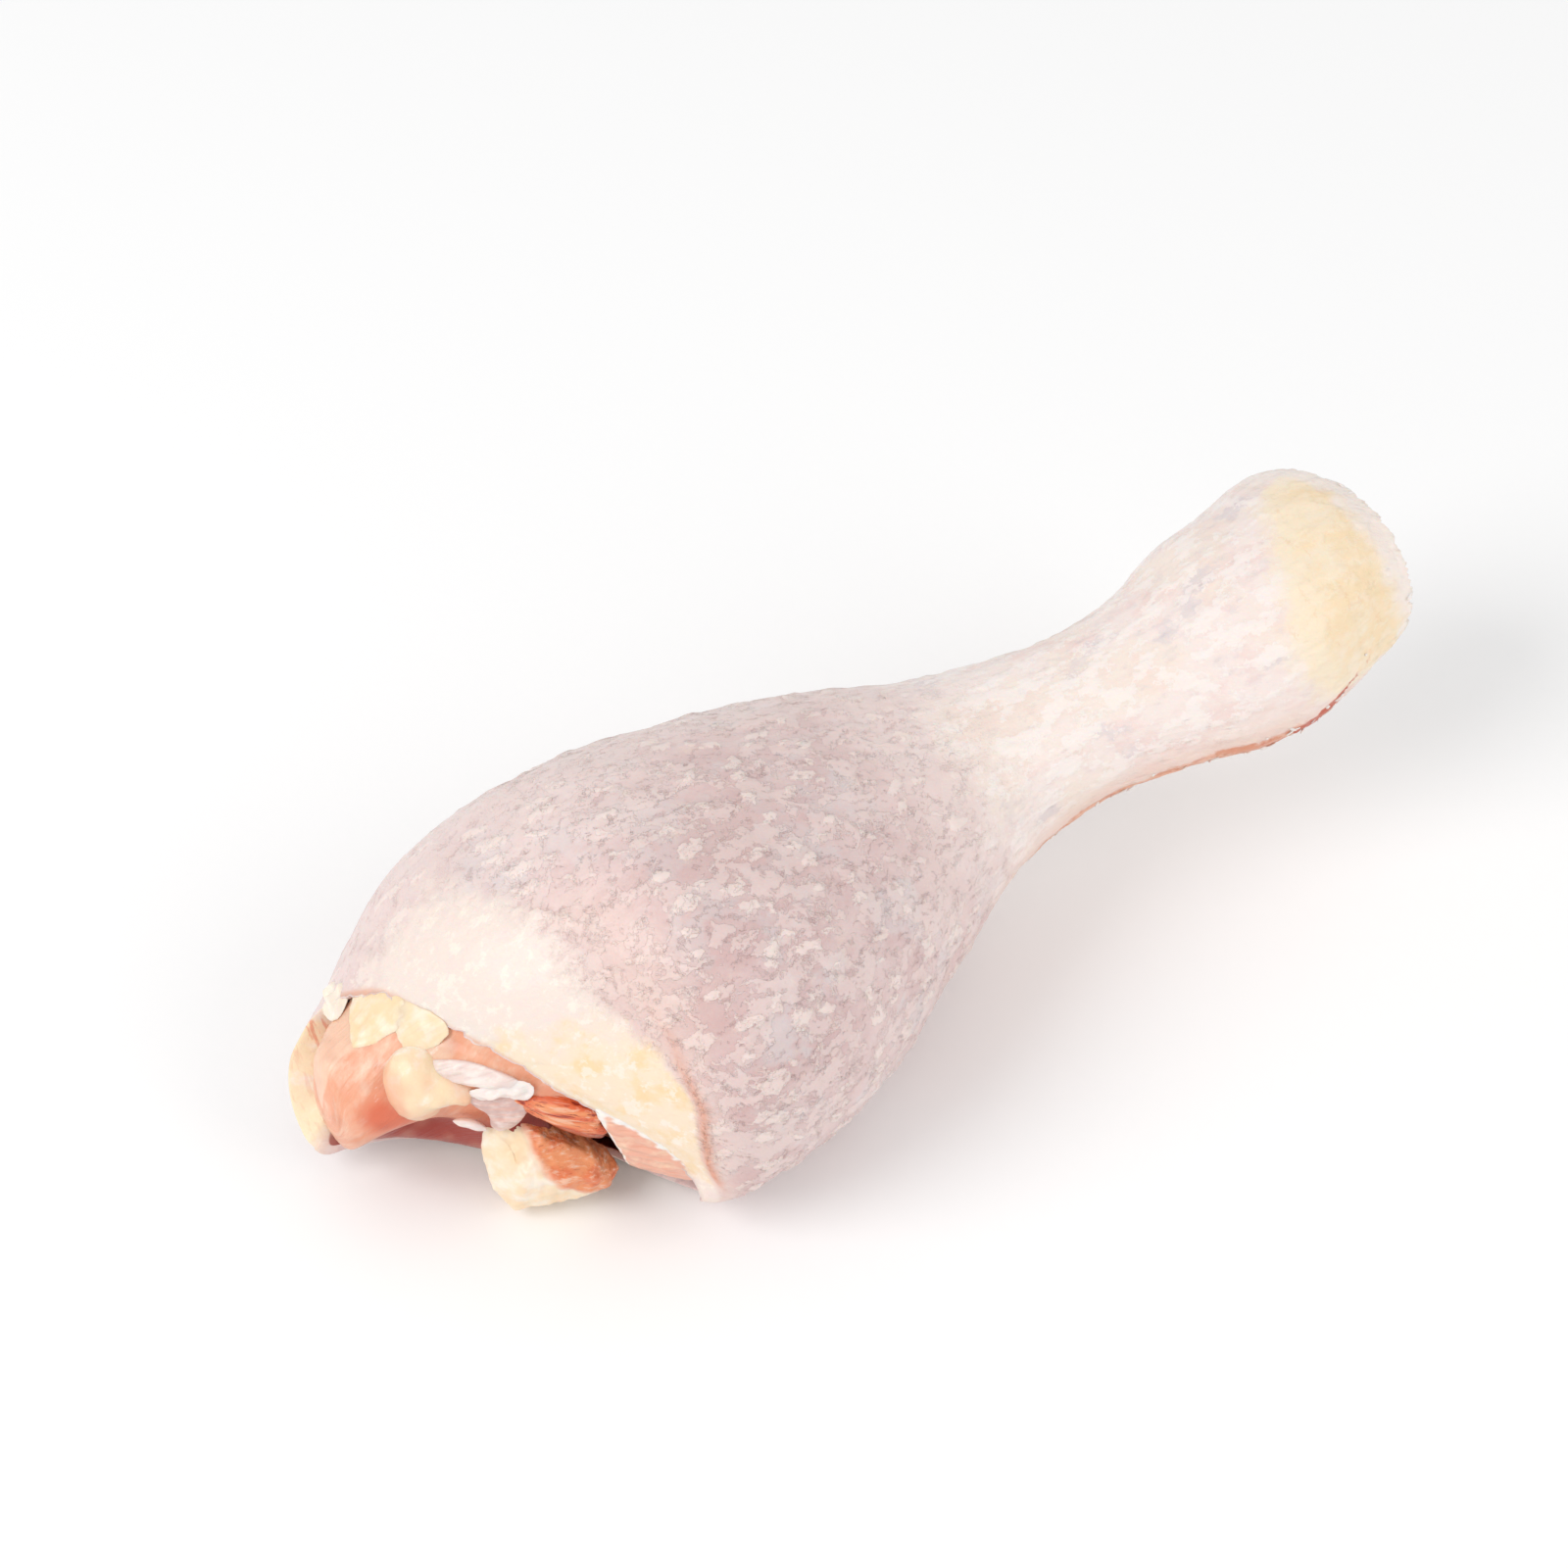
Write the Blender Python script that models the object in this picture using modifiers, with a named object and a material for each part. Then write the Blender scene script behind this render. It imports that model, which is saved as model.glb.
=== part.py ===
"""Raw chicken drumstick, cut through the knee joint, lying on the flat of its belly.

+X runs from the knee cut to the hock, +Z is up, and the origin is on the floor
under the middle of the part. All sizes below are in millimetres.
"""

import bpy
import bmesh
import numpy as np
from math import pi, radians
from mathutils import Matrix

MM = 0.001

# Cross-sections of the whole leg, skin included: distance along the leg,
# sideways place of the middle, height of the underside, half width, half height.
SECTIONS = np.array([
    (-74.5, 9.8, 6.0, 4.2, 4.8),
    (-73.4, 9.9, 4.8, 6.0, 6.4),
    (-70.5, 10.5, 4.3, 7.9, 7.8),
    (-66.5, 11.0, 3.8, 9.9, 9.2),
    (-61.5, 10.9, 2.5, 13.3, 12.1),
    (-55.5, 9.2, 0.5, 18.0, 16.4),
    (-47.5, 6.1, -1.3, 23.0, 20.0),
    (-37.5, 0.1, -2.1, 27.8, 23.5),
    (-25.5, -0.1, -2.2, 27.7, 23.4),
    (-11.5, 2.6, -1.6, 24.6, 21.3),
    (2.5, 5.1, 3.0, 19.0, 16.7),
    (16.5, 5.4, 10.2, 12.7, 11.8),
    (28.5, 3.6, 15.2, 10.3, 9.9),
    (39.5, 2.0, 16.5, 11.1, 10.6),
    (49.5, 2.0, 15.9, 14.0, 12.7),
    (56.5, 2.1, 16.2, 14.7, 13.3),
    (62.5, 3.5, 16.8, 14.6, 13.3),
    (67.0, 4.2, 17.8, 13.9, 12.6),
    (70.5, 3.5, 19.6, 12.2, 11.0),
    (73.0, 2.2, 22.6, 9.0, 8.4),
    (74.0, 1.8, 25.6, 5.5, 5.5),
])
SECTION_FULLNESS = 2.15  # 2 is an ellipse, more is squarer

# Where the skin stops at the knee cut: angle round the leg in degrees
# (0 is the far side, 90 the top, 180 the near side, 270 underneath), place along it.
SKIN_EDGE = np.array([
    (0, -73.2), (28, -71.6), (50, -68.0), (70, -66.4), (90, -64.7),
    (110, -62.5), (130, -59.8), (150, -55.9), (164, -53.0), (177, -48.9),
    (190, -45.0), (205, -41.4), (221, -39.2), (231, -40.6), (240, -53.0),
    (249, -67.5), (258, -72.6), (275, -73.6), (310, -73.8), (335, -73.6),
    (360, -73.2),
])
SKIN_HOCK_EDGE = 71.8
SKIN_THICKNESS = 1.5
# The loose corner of the skin rolls outwards: along, angle, reach along, reach round.
ROLLED_CORNER = (-38.5, 216, 3.5, 14)
ROLLED_CORNER_HEIGHT = 1.1

# The thick fatty lip on the far side of the cut.
FAT_LIP_THICKNESS = 3.8
FAT_LIP_ANGLE = 325
FAT_LIP_FADE_ROUND = (100, 70)  # degrees from its middle to nothing, to full
FAT_LIP_FADE_ALONG = (-62.0, -70.0)  # place along where it starts, is full
FAT_LIP_LEAN = 3.5  # how far its inner side leans towards the hock

GAP = 0.85  # between the skin and the meat under it
CLEARANCE = 0.35  # round every small piece let into the meat
WELD = 0.01  # points closer than this are one point

MEAT_FLOOR = 2.4  # height of the meat over the flat of the skin
MEAT_KNEE_END = -72.4
MEAT_NOSE = ((0.80, 0.5), (0.42, 0.85))  # size and reach of the last rings
MEAT_HOCK_END = 68.0
BARE_DEPTH = 0.7  # of the cut meat below the outline of the whole leg
BARE_FROM = (40, 62)  # angles over which the cut face begins
BARE_TO = (246, 234)  # and ends
BARE_ALONG = (0.9, 4.6)  # distance past the skin's edge over which it sinks in
SLACK_UNDERNEATH = 0.9  # more room where the skin turns under the belly
# Hollows (and a swelling) of the cut face: along, angle, reach along, reach round, depth.
HOLLOWS = (
    (-48.0, 206, 4.6, 20, 6.0),  # pocket under the loose corner of the skin
    (-62.0, 196, 4.0, 17, 1.6),  # under the knob of the bone
    (-69.0, 150, 3.0, 40, -0.5),  # meat swelling beyond the knob
    (-57.5, 175, 5.0, 22, 0.6),  # round the sinews
)

# Fineness of the meshes.
COLUMNS = 36
SKIN_ROWS = 25
END_CROWDING = 0.09  # how much closer the rows lie near both ends of the skin
KNEE_RINGS = 12
BELLY_RINGS = 11
HOCK_RINGS = 6
LOBE_SEGMENTS = 14
LOBE_RINGS = 8
STRIP_STEPS = 7
STRIP_SIDES = 10
STRIP_END = 0.45  # size of a strip's last ring, as a share of the one before it
SHAFT_RINGS = 16
SHAFT_SIDES = 12

# Shank bone: along, sideways, height, half width, half height.
SHAFT = np.array([
    (-54.0, 2.1, 12.8, 5.0, 5.2),
    (-46.0, 3.6, 14.6, 6.4, 5.8),
    (-36.0, 4.0, 17.0, 4.8, 4.4),
    (-16.0, 3.8, 19.6, 3.9, 3.7),
    (10.0, 5.0, 22.0, 3.6, 3.4),
    (28.0, 3.7, 25.0, 3.9, 3.6),
    (42.0, 2.2, 27.4, 5.2, 4.8),
    (53.0, 2.2, 28.8, 7.0, 6.2),
    (62.0, 3.2, 29.8, 8.2, 6.8),
    (69.0, 3.8, 30.3, 7.4, 5.8),
])

# Rounded bodies: centre, half sizes, turn about Z in degrees.
KNEE_HEAD = ((-54.0, 3.0, 12.6), (6.6, 7.6, 6.8), 8)
KNEE_KNOB = ((-63.2, 3.2, 18.4), (4.6, 4.4, 4.8), -25)
HOCK_KNUCKLE_FAR = ((66.2, 8.2, 30.6), (7.6, 4.7, 8.0), -4)
HOCK_KNUCKLE_NEAR = ((66.4, -0.2, 30.4), (7.4, 4.9, 7.6), 5)
KNUCKLE = ((-52.8, -8.6, 7.2), (7.7, 5.2, 4.9), -31)

# Strips let into the cut face, each a row of
# (along, angle in degrees, depth below the outside, half width, half thickness).
TENDON = ((-62.8, 136, 0.5, 1.4, 0.7), (-60.6, 147, 0.3, 2.0, 0.9),
          (-58.2, 156, 0.3, 1.9, 0.9), (-56.0, 163, 0.6, 1.1, 0.7))
LIGAMENT = ((-61.0, 168, 1.0, 1.0, 0.9), (-59.4, 174, 0.6, 1.5, 1.1),
            (-57.9, 181, 0.6, 1.5, 1.1), (-56.4, 188, 1.0, 1.0, 0.9))
RED_MUSCLE = ((-55.8, 172, 1.6, 1.4, 1.3), (-53.4, 177, 1.3, 2.2, 1.8),
              (-51.0, 183, 1.6, 2.2, 1.8), (-49.0, 190, 2.6, 1.4, 1.3))
FAT_PAD = ((-68.4, 88, 0.8, 1.6, 0.6), (-67.6, 102, 0.3, 2.6, 0.8),
           (-66.4, 116, 0.3, 2.7, 0.8), (-65.2, 130, 0.8, 1.6, 0.6))
FLAP = ((-49.6, 180, 1.5, 0.7, 0.5), (-47.7, 190, 1.4, 1.9, 0.7),
        (-45.4, 203, 1.4, 2.7, 0.7), (-42.2, 217, 1.6, 1.3, 0.5))

COLOURS = {
    "skin": ((0.80, 0.66, 0.63, 1.0), 0.38),
    "meat": ((0.72, 0.33, 0.20, 1.0), 0.42),
    "bone": ((0.90, 0.72, 0.50, 1.0), 0.35),
    "sinew": ((0.82, 0.70, 0.68, 1.0), 0.32),
    "red_meat": ((0.66, 0.14, 0.06, 1.0), 0.38),
    "fat": ((0.92, 0.78, 0.62, 1.0), 0.40),
}


def curve_through(stations, column, at):
    """Smooth curve through one column of a table of stations."""
    xs = stations[:, 0]
    ys = stations[:, column]
    slopes = np.gradient(ys, xs)
    left = np.clip(np.searchsorted(xs, at) - 1, 0, len(xs) - 2)
    span = xs[left + 1] - xs[left]
    t = np.clip((at - xs[left]) / span, 0.0, 1.0)
    start = (2 * t**3 - 3 * t**2 + 1) * ys[left]
    start_slope = (t**3 - 2 * t**2 + t) * span * slopes[left]
    end = (3 * t**2 - 2 * t**3) * ys[left + 1]
    end_slope = (t**3 - t**2) * span * slopes[left + 1]
    return start + start_slope + end + end_slope


def smoothstep(value, low, high):
    t = np.clip((value - low) / (high - low), 0.0, 1.0)
    return t * t * (3 - 2 * t)


def turn_from(angle, degrees):
    """Signed turn, in radians, from a direction given in degrees."""
    return (angle - radians(degrees) + pi) % (2 * pi) - pi


def hill(x, angle, place):
    """Rounded bump of height one on the unrolled surface."""
    x_mid, angle_mid, x_reach, angle_reach = place
    turn = turn_from(angle, angle_mid)
    return np.exp(-((x - x_mid) / x_reach) ** 2 - (turn / radians(angle_reach)) ** 2)


def outside(x, angle):
    """Outer surface of the leg, flattened where it lies on the floor."""
    x, angle = np.broadcast_arrays(np.asarray(x, float), np.asarray(angle, float))
    middle, under, half_width, half_height = (
        curve_through(SECTIONS, column, x) for column in (1, 2, 3, 4)
    )
    c = np.cos(angle)
    s = np.sin(angle)
    p = SECTION_FULLNESS
    reach = (np.abs(c) ** p + np.abs(s) ** p) ** (-1 / p)
    y = middle + half_width * c * reach
    z = np.maximum(under + half_height + half_height * s * reach, 0.0)
    return np.stack([x, y, z], -1)


def outward(x, angle):
    """Outward direction of the outer surface."""
    step = 0.4
    turn = radians(1.5)
    along = outside(x + step, angle) - outside(x - step, angle)
    around = outside(x, angle + turn) - outside(x, angle - turn)
    normal = np.cross(along, around)
    normal = normal / np.linalg.norm(normal, axis=-1, keepdims=True)
    return -normal


def skin_edge(angle):
    degrees = np.degrees(angle) % 360
    return curve_through(SKIN_EDGE, 1, degrees)


def fat_lip(x, angle):
    """One on the thick fatty edge at the far end of the cut, zero elsewhere."""
    turn = np.degrees(np.abs(turn_from(angle, FAT_LIP_ANGLE)))
    return smoothstep(turn, *FAT_LIP_FADE_ROUND) * smoothstep(x, *FAT_LIP_FADE_ALONG)


def skin_thickness(x, angle):
    lip = fat_lip(x, angle)
    return SKIN_THICKNESS + (FAT_LIP_THICKNESS - SKIN_THICKNESS) * lip


def add_object(name, points, faces, collection):
    mesh = bpy.data.meshes.new(name)
    mesh.from_pydata([tuple(p) for p in np.asarray(points) * MM], [], faces)
    mesh.update()
    for polygon in mesh.polygons:
        polygon.use_smooth = True
    obj = bpy.data.objects.new(name, mesh)
    collection.objects.link(obj)
    return obj


def tube_faces(rows, columns):
    """Quads of a grid of rings, facing out for rings that run along +X."""
    faces = []
    for row in range(rows - 1):
        for column in range(columns):
            following = (column + 1) % columns
            faces.append((
                row * columns + column,
                (row + 1) * columns + column,
                (row + 1) * columns + following,
                row * columns + following,
            ))
    return faces


def closed_tube(name, rings, collection):
    """Closed body through a row of rings, with a point closing each end."""
    rings = np.asarray(rings)
    rows, columns, _ = rings.shape
    points = list(rings.reshape(-1, 3))
    faces = tube_faces(rows, columns)
    points.append(rings[0].mean(axis=0))
    points.append(rings[-1].mean(axis=0))
    first = rows * columns
    last = first + 1
    for column in range(columns):
        following = (column + 1) % columns
        faces.append((first, column, following))
        end = (rows - 1) * columns
        faces.append((last, end + following, end + column))
    obj = add_object(name, points, faces, collection)
    return face_out(obj)


def face_out(obj):
    shape = bmesh.new()
    shape.from_mesh(obj.data)
    bmesh.ops.recalc_face_normals(shape, faces=shape.faces)
    shape.to_mesh(obj.data)
    shape.free()
    return obj


def ellipsoid(name, body, grow, collection):
    centre, half_sizes, turn = body
    size = [(half + grow) * MM for half in half_sizes]
    place = (
        Matrix.Translation([value * MM for value in centre])
        @ Matrix.Rotation(radians(turn), 4, "Z")
        @ Matrix.Diagonal(size + [1.0])
    )
    ball = bmesh.new()
    bmesh.ops.create_uvsphere(
        ball, u_segments=LOBE_SEGMENTS, v_segments=LOBE_RINGS, radius=1.0, matrix=place
    )
    mesh = bpy.data.meshes.new(name)
    ball.to_mesh(mesh)
    ball.free()
    for polygon in mesh.polygons:
        polygon.use_smooth = True
    obj = bpy.data.objects.new(name, mesh)
    collection.objects.link(obj)
    return obj


def strip(name, path, grow, collection):
    """Rounded strip lying along the outer surface."""
    table = np.array(path, float)
    steps = np.linspace(0, len(table) - 1, STRIP_STEPS)
    numbered = np.column_stack([np.arange(len(table)), table])
    x, angle, depth, half_width, half_thick = (
        curve_through(numbered, column, steps) for column in range(1, 6)
    )
    angle = np.radians(angle)
    normal = outward(x, angle)
    centre = outside(x, angle) - normal * depth[:, None]
    ahead = np.gradient(centre, axis=0)
    ahead = ahead / np.linalg.norm(ahead, axis=1, keepdims=True)
    across = np.cross(normal, ahead)
    across = across / np.linalg.norm(across, axis=1, keepdims=True)
    rise = np.cross(ahead, across)
    around = np.arange(STRIP_SIDES) * 2 * pi / STRIP_SIDES
    rings = []
    for row in range(len(steps)):
        wide = (half_width[row] + grow) * np.cos(around)[:, None] * across[row]
        thick = (half_thick[row] + grow) * np.sin(around)[:, None] * rise[row]
        rings.append(centre[row] + wide + thick)
    first = centre[0] - ahead[0] * (half_thick[0] * 0.8 + grow)
    last = centre[-1] + ahead[-1] * (half_thick[-1] * 0.8 + grow)
    rings.insert(0, first + (rings[0] - centre[0]) * STRIP_END)
    rings.append(last + (rings[-1] - centre[-1]) * STRIP_END)
    return closed_tube(name, rings, collection)


def shaft(name, grow, collection):
    along = np.linspace(SHAFT[0, 0] - grow, SHAFT[-1, 0] + grow, SHAFT_RINGS)
    around = np.arange(SHAFT_SIDES) * 2 * pi / SHAFT_SIDES
    rings = []
    for x in along:
        place = np.array([x])
        y, z, wide, high = (
            curve_through(SHAFT, column, place)[0] for column in (1, 2, 3, 4)
        )
        ring = np.stack([
            np.full(SHAFT_SIDES, x),
            y + (wide + grow) * np.cos(around),
            z + (high + grow) * np.sin(around),
        ], -1)
        rings.append(ring)
    return closed_tube(name, rings, collection)


def bone_lobes(prefix, grow, collection):
    """Rounded ends of the bone, at the knee and at the hock."""
    lobes = {
        "knee_head": KNEE_HEAD,
        "knee_knob": KNEE_KNOB,
        "hock_far": HOCK_KNUCKLE_FAR,
        "hock_near": HOCK_KNUCKLE_NEAR,
    }
    return [
        ellipsoid(f"{prefix}_{name}", body, grow, collection)
        for name, body in lobes.items()
    ]


def make_skin(collection):
    """Open sleeve with an oblique edge at the knee, thickened inwards."""
    angle = np.arange(COLUMNS) * 2 * pi / COLUMNS
    share = np.linspace(0, 1, SKIN_ROWS)[:, None]
    share = share - END_CROWDING * np.sin(2 * pi * share)
    edge = skin_edge(angle)[None, :]
    x = edge + (SKIN_HOCK_EDGE - edge) * share
    turn = np.broadcast_to(angle[None, :], x.shape)
    points = outside(x, turn)
    roll = ROLLED_CORNER_HEIGHT * hill(x, turn, ROLLED_CORNER)
    points = points + outward(x, turn) * roll[..., None]
    obj = add_object(
        "skin", points.reshape(-1, 3), tube_faces(SKIN_ROWS, COLUMNS), collection
    )
    group = obj.vertex_groups.new(name="thick_fat")
    ratio = (skin_thickness(x, turn) / FAT_LIP_THICKNESS).reshape(-1)
    for index, weight in enumerate(ratio):
        group.add([index], float(weight), "REPLACE")
    shell = obj.modifiers.new("thickness", "SOLIDIFY")
    shell.thickness = FAT_LIP_THICKNESS * MM
    shell.offset = 1.0
    shell.vertex_group = "thick_fat"
    shell.thickness_vertex_group = 0.0
    shell.use_even_offset = False
    return obj


def meat_depth(x, angle):
    """Depth of the meat below the outer surface."""
    turn = np.degrees(angle) % 360
    turned_under = smoothstep(turn, 222, 240) * smoothstep(turn, 305, 285)
    slack = SLACK_UNDERNEATH * turned_under * smoothstep(x, -28.0, -36.0)
    covered = skin_thickness(x - FAT_LIP_LEAN, angle) + GAP
    past_edge = skin_edge(angle) - x
    seen = smoothstep(turn, *BARE_FROM) * smoothstep(turn, *BARE_TO)
    bare = smoothstep(past_edge, *BARE_ALONG) * seen
    depth = covered * (1 - bare) + BARE_DEPTH * bare + slack
    for *place, deep in HOLLOWS:
        depth = depth + deep * hill(x, angle, place)
    return depth


def inset_ring(x, angle, depth):
    """Ring of the leg drawn in by a depth measured square to the surface.

    The ring stays in its own plane, so where the leg tapers it moves further,
    up to a limit that keeps it clear of the middle.
    """
    surface = outside(x, angle)
    normal = outward(x, angle)
    flat = normal[..., 1:]
    steepness = np.linalg.norm(flat, axis=-1, keepdims=True)
    middle = surface.mean(axis=0)[1:]
    radius = np.linalg.norm(surface[..., 1:] - middle, axis=-1, keepdims=True)
    shift = np.minimum(depth[..., None] / np.maximum(steepness, 0.25), 0.85 * radius)
    inset = surface.copy()
    inset[..., 1:] -= flat / steepness * shift
    return inset


def make_meat(collection):
    knee = np.linspace(MEAT_KNEE_END, -38.0, KNEE_RINGS)
    belly = np.linspace(-34.0, 44.0, BELLY_RINGS)
    hock = np.linspace(49.0, MEAT_HOCK_END, HOCK_RINGS)
    angle = np.arange(COLUMNS) * 2 * pi / COLUMNS
    rings = []
    for x in np.concatenate([knee, belly, hock]):
        here = np.full(COLUMNS, x)
        inset = inset_ring(here, angle, meat_depth(here, angle))
        inset[:, 2] = np.maximum(inset[:, 2], MEAT_FLOOR)
        rings.append(inset)
    last_cut = rings[0]
    middle = last_cut.mean(axis=0)
    for share, ahead in MEAT_NOSE:
        nose = middle + (last_cut - middle) * share
        nose[:, 0] = MEAT_KNEE_END - ahead
        rings.insert(0, nose)
    return closed_tube("meat", rings, collection)


def apply_booleans(obj, operation, others):
    for other in others:
        modifier = obj.modifiers.new(f"{operation.lower()}_{other.name}", "BOOLEAN")
        modifier.operation = operation
        modifier.object = other
        modifier.solver = "EXACT"


def keep_main_body(obj):
    """Apply the modifiers and drop the crumbs a cut leaves behind."""
    bpy.context.view_layer.update()
    graph = bpy.context.evaluated_depsgraph_get()
    mesh = bpy.data.meshes.new_from_object(obj.evaluated_get(graph))
    obj.modifiers.clear()
    shape = bmesh.new()
    shape.from_mesh(mesh)
    bmesh.ops.remove_doubles(shape, verts=shape.verts, dist=WELD * MM)
    bmesh.ops.triangulate(shape, faces=shape.faces)
    unseen = set(shape.verts)
    bodies = []
    while unseen:
        body = {unseen.pop()}
        edge_of_body = list(body)
        while edge_of_body:
            vertex = edge_of_body.pop()
            for edge in vertex.link_edges:
                other = edge.other_vert(vertex)
                if other in unseen:
                    unseen.discard(other)
                    body.add(other)
                    edge_of_body.append(other)
        bodies.append(body)
    largest = max(bodies, key=len)
    crumbs = [vertex for vertex in shape.verts if vertex not in largest]
    bmesh.ops.delete(shape, geom=crumbs, context="VERTS")
    shape.to_mesh(mesh)
    shape.free()
    obj.data = mesh
    for polygon in mesh.polygons:
        polygon.use_smooth = True


def material(name):
    colour, roughness = COLOURS[name]
    made = bpy.data.materials.new(name)
    made.use_nodes = True
    shader = made.node_tree.nodes["Principled BSDF"]
    shader.inputs["Base Color"].default_value = colour
    shader.inputs["Roughness"].default_value = roughness
    shader.inputs["Metallic"].default_value = 0.0
    return made


def main():
    for obj in list(bpy.data.objects):
        bpy.data.objects.remove(obj, do_unlink=True)
    parts = bpy.data.collections.new("raw_chicken_drumstick")
    cutters = bpy.data.collections.new("cutters")
    bpy.context.scene.collection.children.link(parts)
    bpy.context.scene.collection.children.link(cutters)

    skin = make_skin(parts)
    meat = make_meat(parts)
    bone = shaft("leg_bone", 0.0, parts)
    knuckle = ellipsoid("knuckle", KNUCKLE, 0.0, parts)
    tendon = strip("tendon", TENDON, 0.0, parts)
    ligament = strip("ligament", LIGAMENT, 0.0, parts)
    red_muscle = strip("red_muscle", RED_MUSCLE, 0.0, parts)
    fat_pad = strip("fat_pad", FAT_PAD, 0.0, parts)
    flap = strip("flap", FLAP, 0.0, parts)

    apply_booleans(bone, "UNION", bone_lobes("lobe", 0.0, cutters))
    bone_room = shaft("room_bone", CLEARANCE, cutters)
    apply_booleans(bone_room, "UNION", bone_lobes("room", CLEARANCE, cutters))
    keep_main_body(bone_room)

    knuckle_room = ellipsoid("room_knuckle", KNUCKLE, CLEARANCE, cutters)
    tendon_room = strip("room_tendon", TENDON, CLEARANCE, cutters)
    ligament_room = strip("room_ligament", LIGAMENT, CLEARANCE, cutters)
    red_room = strip("room_red_muscle", RED_MUSCLE, CLEARANCE, cutters)
    pad_room = strip("room_fat_pad", FAT_PAD, CLEARANCE, cutters)
    flap_room = strip("room_flap", FLAP, CLEARANCE, cutters)

    cuts = {
        knuckle: [bone_room],
        tendon: [bone_room],
        ligament: [bone_room, tendon_room, knuckle_room],
        red_muscle: [bone_room, tendon_room, ligament_room, knuckle_room],
        fat_pad: [bone_room],
        flap: [red_room, knuckle_room],
        meat: [
            bone_room, knuckle_room, tendon_room, ligament_room,
            red_room, pad_room, flap_room,
        ],
    }
    for obj, rooms in cuts.items():
        apply_booleans(obj, "DIFFERENCE", rooms)

    slots = {
        skin: "skin", meat: "meat", bone: "bone", knuckle: "bone",
        tendon: "sinew", ligament: "sinew", red_muscle: "red_meat",
        fat_pad: "fat", flap: "meat",
    }
    materials = {name: material(name) for name in COLOURS}
    for obj, slot in slots.items():
        if obj is not skin:
            keep_main_body(obj)
        obj.data.materials.clear()
        obj.data.materials.append(materials[slot])
    for cutter in cutters.objects:
        cutter.hide_render = True
        cutter.display_type = "WIRE"


main()
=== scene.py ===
"""Raw chicken drumstick: skin, flesh, bone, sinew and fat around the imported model.

Laid out as a Blender add-on and run as a script. The leg runs along +X from the
cut knee to the hock and lies on the flat of its belly. Lengths are in
millimetres until a mesh is made. A place on the leg is a distance along it and
an angle round it in degrees: 0 is the far side, 90 the top, 180 the near side.
"""

from math import cos, pi, radians, sin

import bmesh
import bpy
import numpy as np
from bpy.props import FloatProperty, FloatVectorProperty, PointerProperty
from mathutils import Matrix, Vector


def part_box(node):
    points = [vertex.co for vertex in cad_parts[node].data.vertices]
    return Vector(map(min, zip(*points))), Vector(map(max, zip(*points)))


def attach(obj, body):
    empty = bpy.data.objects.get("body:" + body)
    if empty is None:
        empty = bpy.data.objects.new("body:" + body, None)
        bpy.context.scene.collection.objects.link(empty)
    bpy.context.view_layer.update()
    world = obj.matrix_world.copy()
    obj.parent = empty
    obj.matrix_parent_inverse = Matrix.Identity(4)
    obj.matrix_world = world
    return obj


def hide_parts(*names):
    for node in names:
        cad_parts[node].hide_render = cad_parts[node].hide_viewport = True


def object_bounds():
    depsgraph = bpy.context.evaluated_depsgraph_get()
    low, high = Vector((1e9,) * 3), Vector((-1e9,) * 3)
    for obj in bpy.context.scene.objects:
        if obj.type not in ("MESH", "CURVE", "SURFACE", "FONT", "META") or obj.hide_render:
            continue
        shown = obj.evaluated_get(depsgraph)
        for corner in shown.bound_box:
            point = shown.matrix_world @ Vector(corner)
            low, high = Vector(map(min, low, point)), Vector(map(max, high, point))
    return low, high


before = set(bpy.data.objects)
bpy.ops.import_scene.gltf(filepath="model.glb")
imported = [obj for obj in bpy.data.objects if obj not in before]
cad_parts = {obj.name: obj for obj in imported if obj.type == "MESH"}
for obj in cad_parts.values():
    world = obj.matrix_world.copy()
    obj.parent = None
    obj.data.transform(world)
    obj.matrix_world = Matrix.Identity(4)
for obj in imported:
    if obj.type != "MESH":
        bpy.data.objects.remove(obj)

bl_info = {
    "name": "Raw Chicken Drumstick",
    "version": (1, 0, 0),
    "blender": (4, 5, 0),
    "location": "3D View > Sidebar > Drumstick",
    "description": "Builds a raw chicken drumstick, cut at the knee, on a pale floor",
    "category": "Add Mesh",
}

MM = 0.001
CAD_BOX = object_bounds()
SKIN_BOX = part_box("skin")

# ---------------------------------------------------------------- the leg's form

# Cross-sections with the skin on: along, sideways middle, height of the
# underside, half width, half height.
SECTIONS = np.array([
    (-74.5, 9.8, 6.0, 4.2, 4.8), (-73.4, 9.9, 4.8, 6.0, 6.4), (-70.5, 10.5, 4.3, 7.9, 7.8),
    (-66.5, 11.0, 3.8, 9.9, 9.2), (-61.5, 10.9, 2.5, 13.3, 12.1), (-55.5, 9.2, 0.5, 18.0, 16.4),
    (-47.5, 6.1, -1.3, 23.0, 20.0), (-37.5, 0.1, -2.1, 27.8, 23.5), (-25.5, -0.1, -2.2, 27.7, 23.4),
    (-11.5, 2.6, -1.6, 24.6, 21.3), (2.5, 5.1, 3.0, 19.0, 16.7), (16.5, 5.4, 10.2, 12.7, 11.8),
    (28.5, 3.6, 15.2, 10.3, 9.9), (39.5, 2.0, 16.5, 11.1, 10.6), (49.5, 2.0, 15.9, 14.0, 12.7),
    (56.5, 2.1, 16.2, 14.7, 13.3), (62.5, 3.5, 16.8, 14.6, 13.3), (67.0, 4.2, 17.8, 13.9, 12.6),
    (70.5, 3.5, 19.6, 12.2, 11.0), (73.0, 2.2, 22.6, 9.0, 8.4), (74.0, 1.8, 25.6, 5.5, 5.5),
])
FULLNESS = 2.15  # 2 is an ellipse, more is squarer
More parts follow.
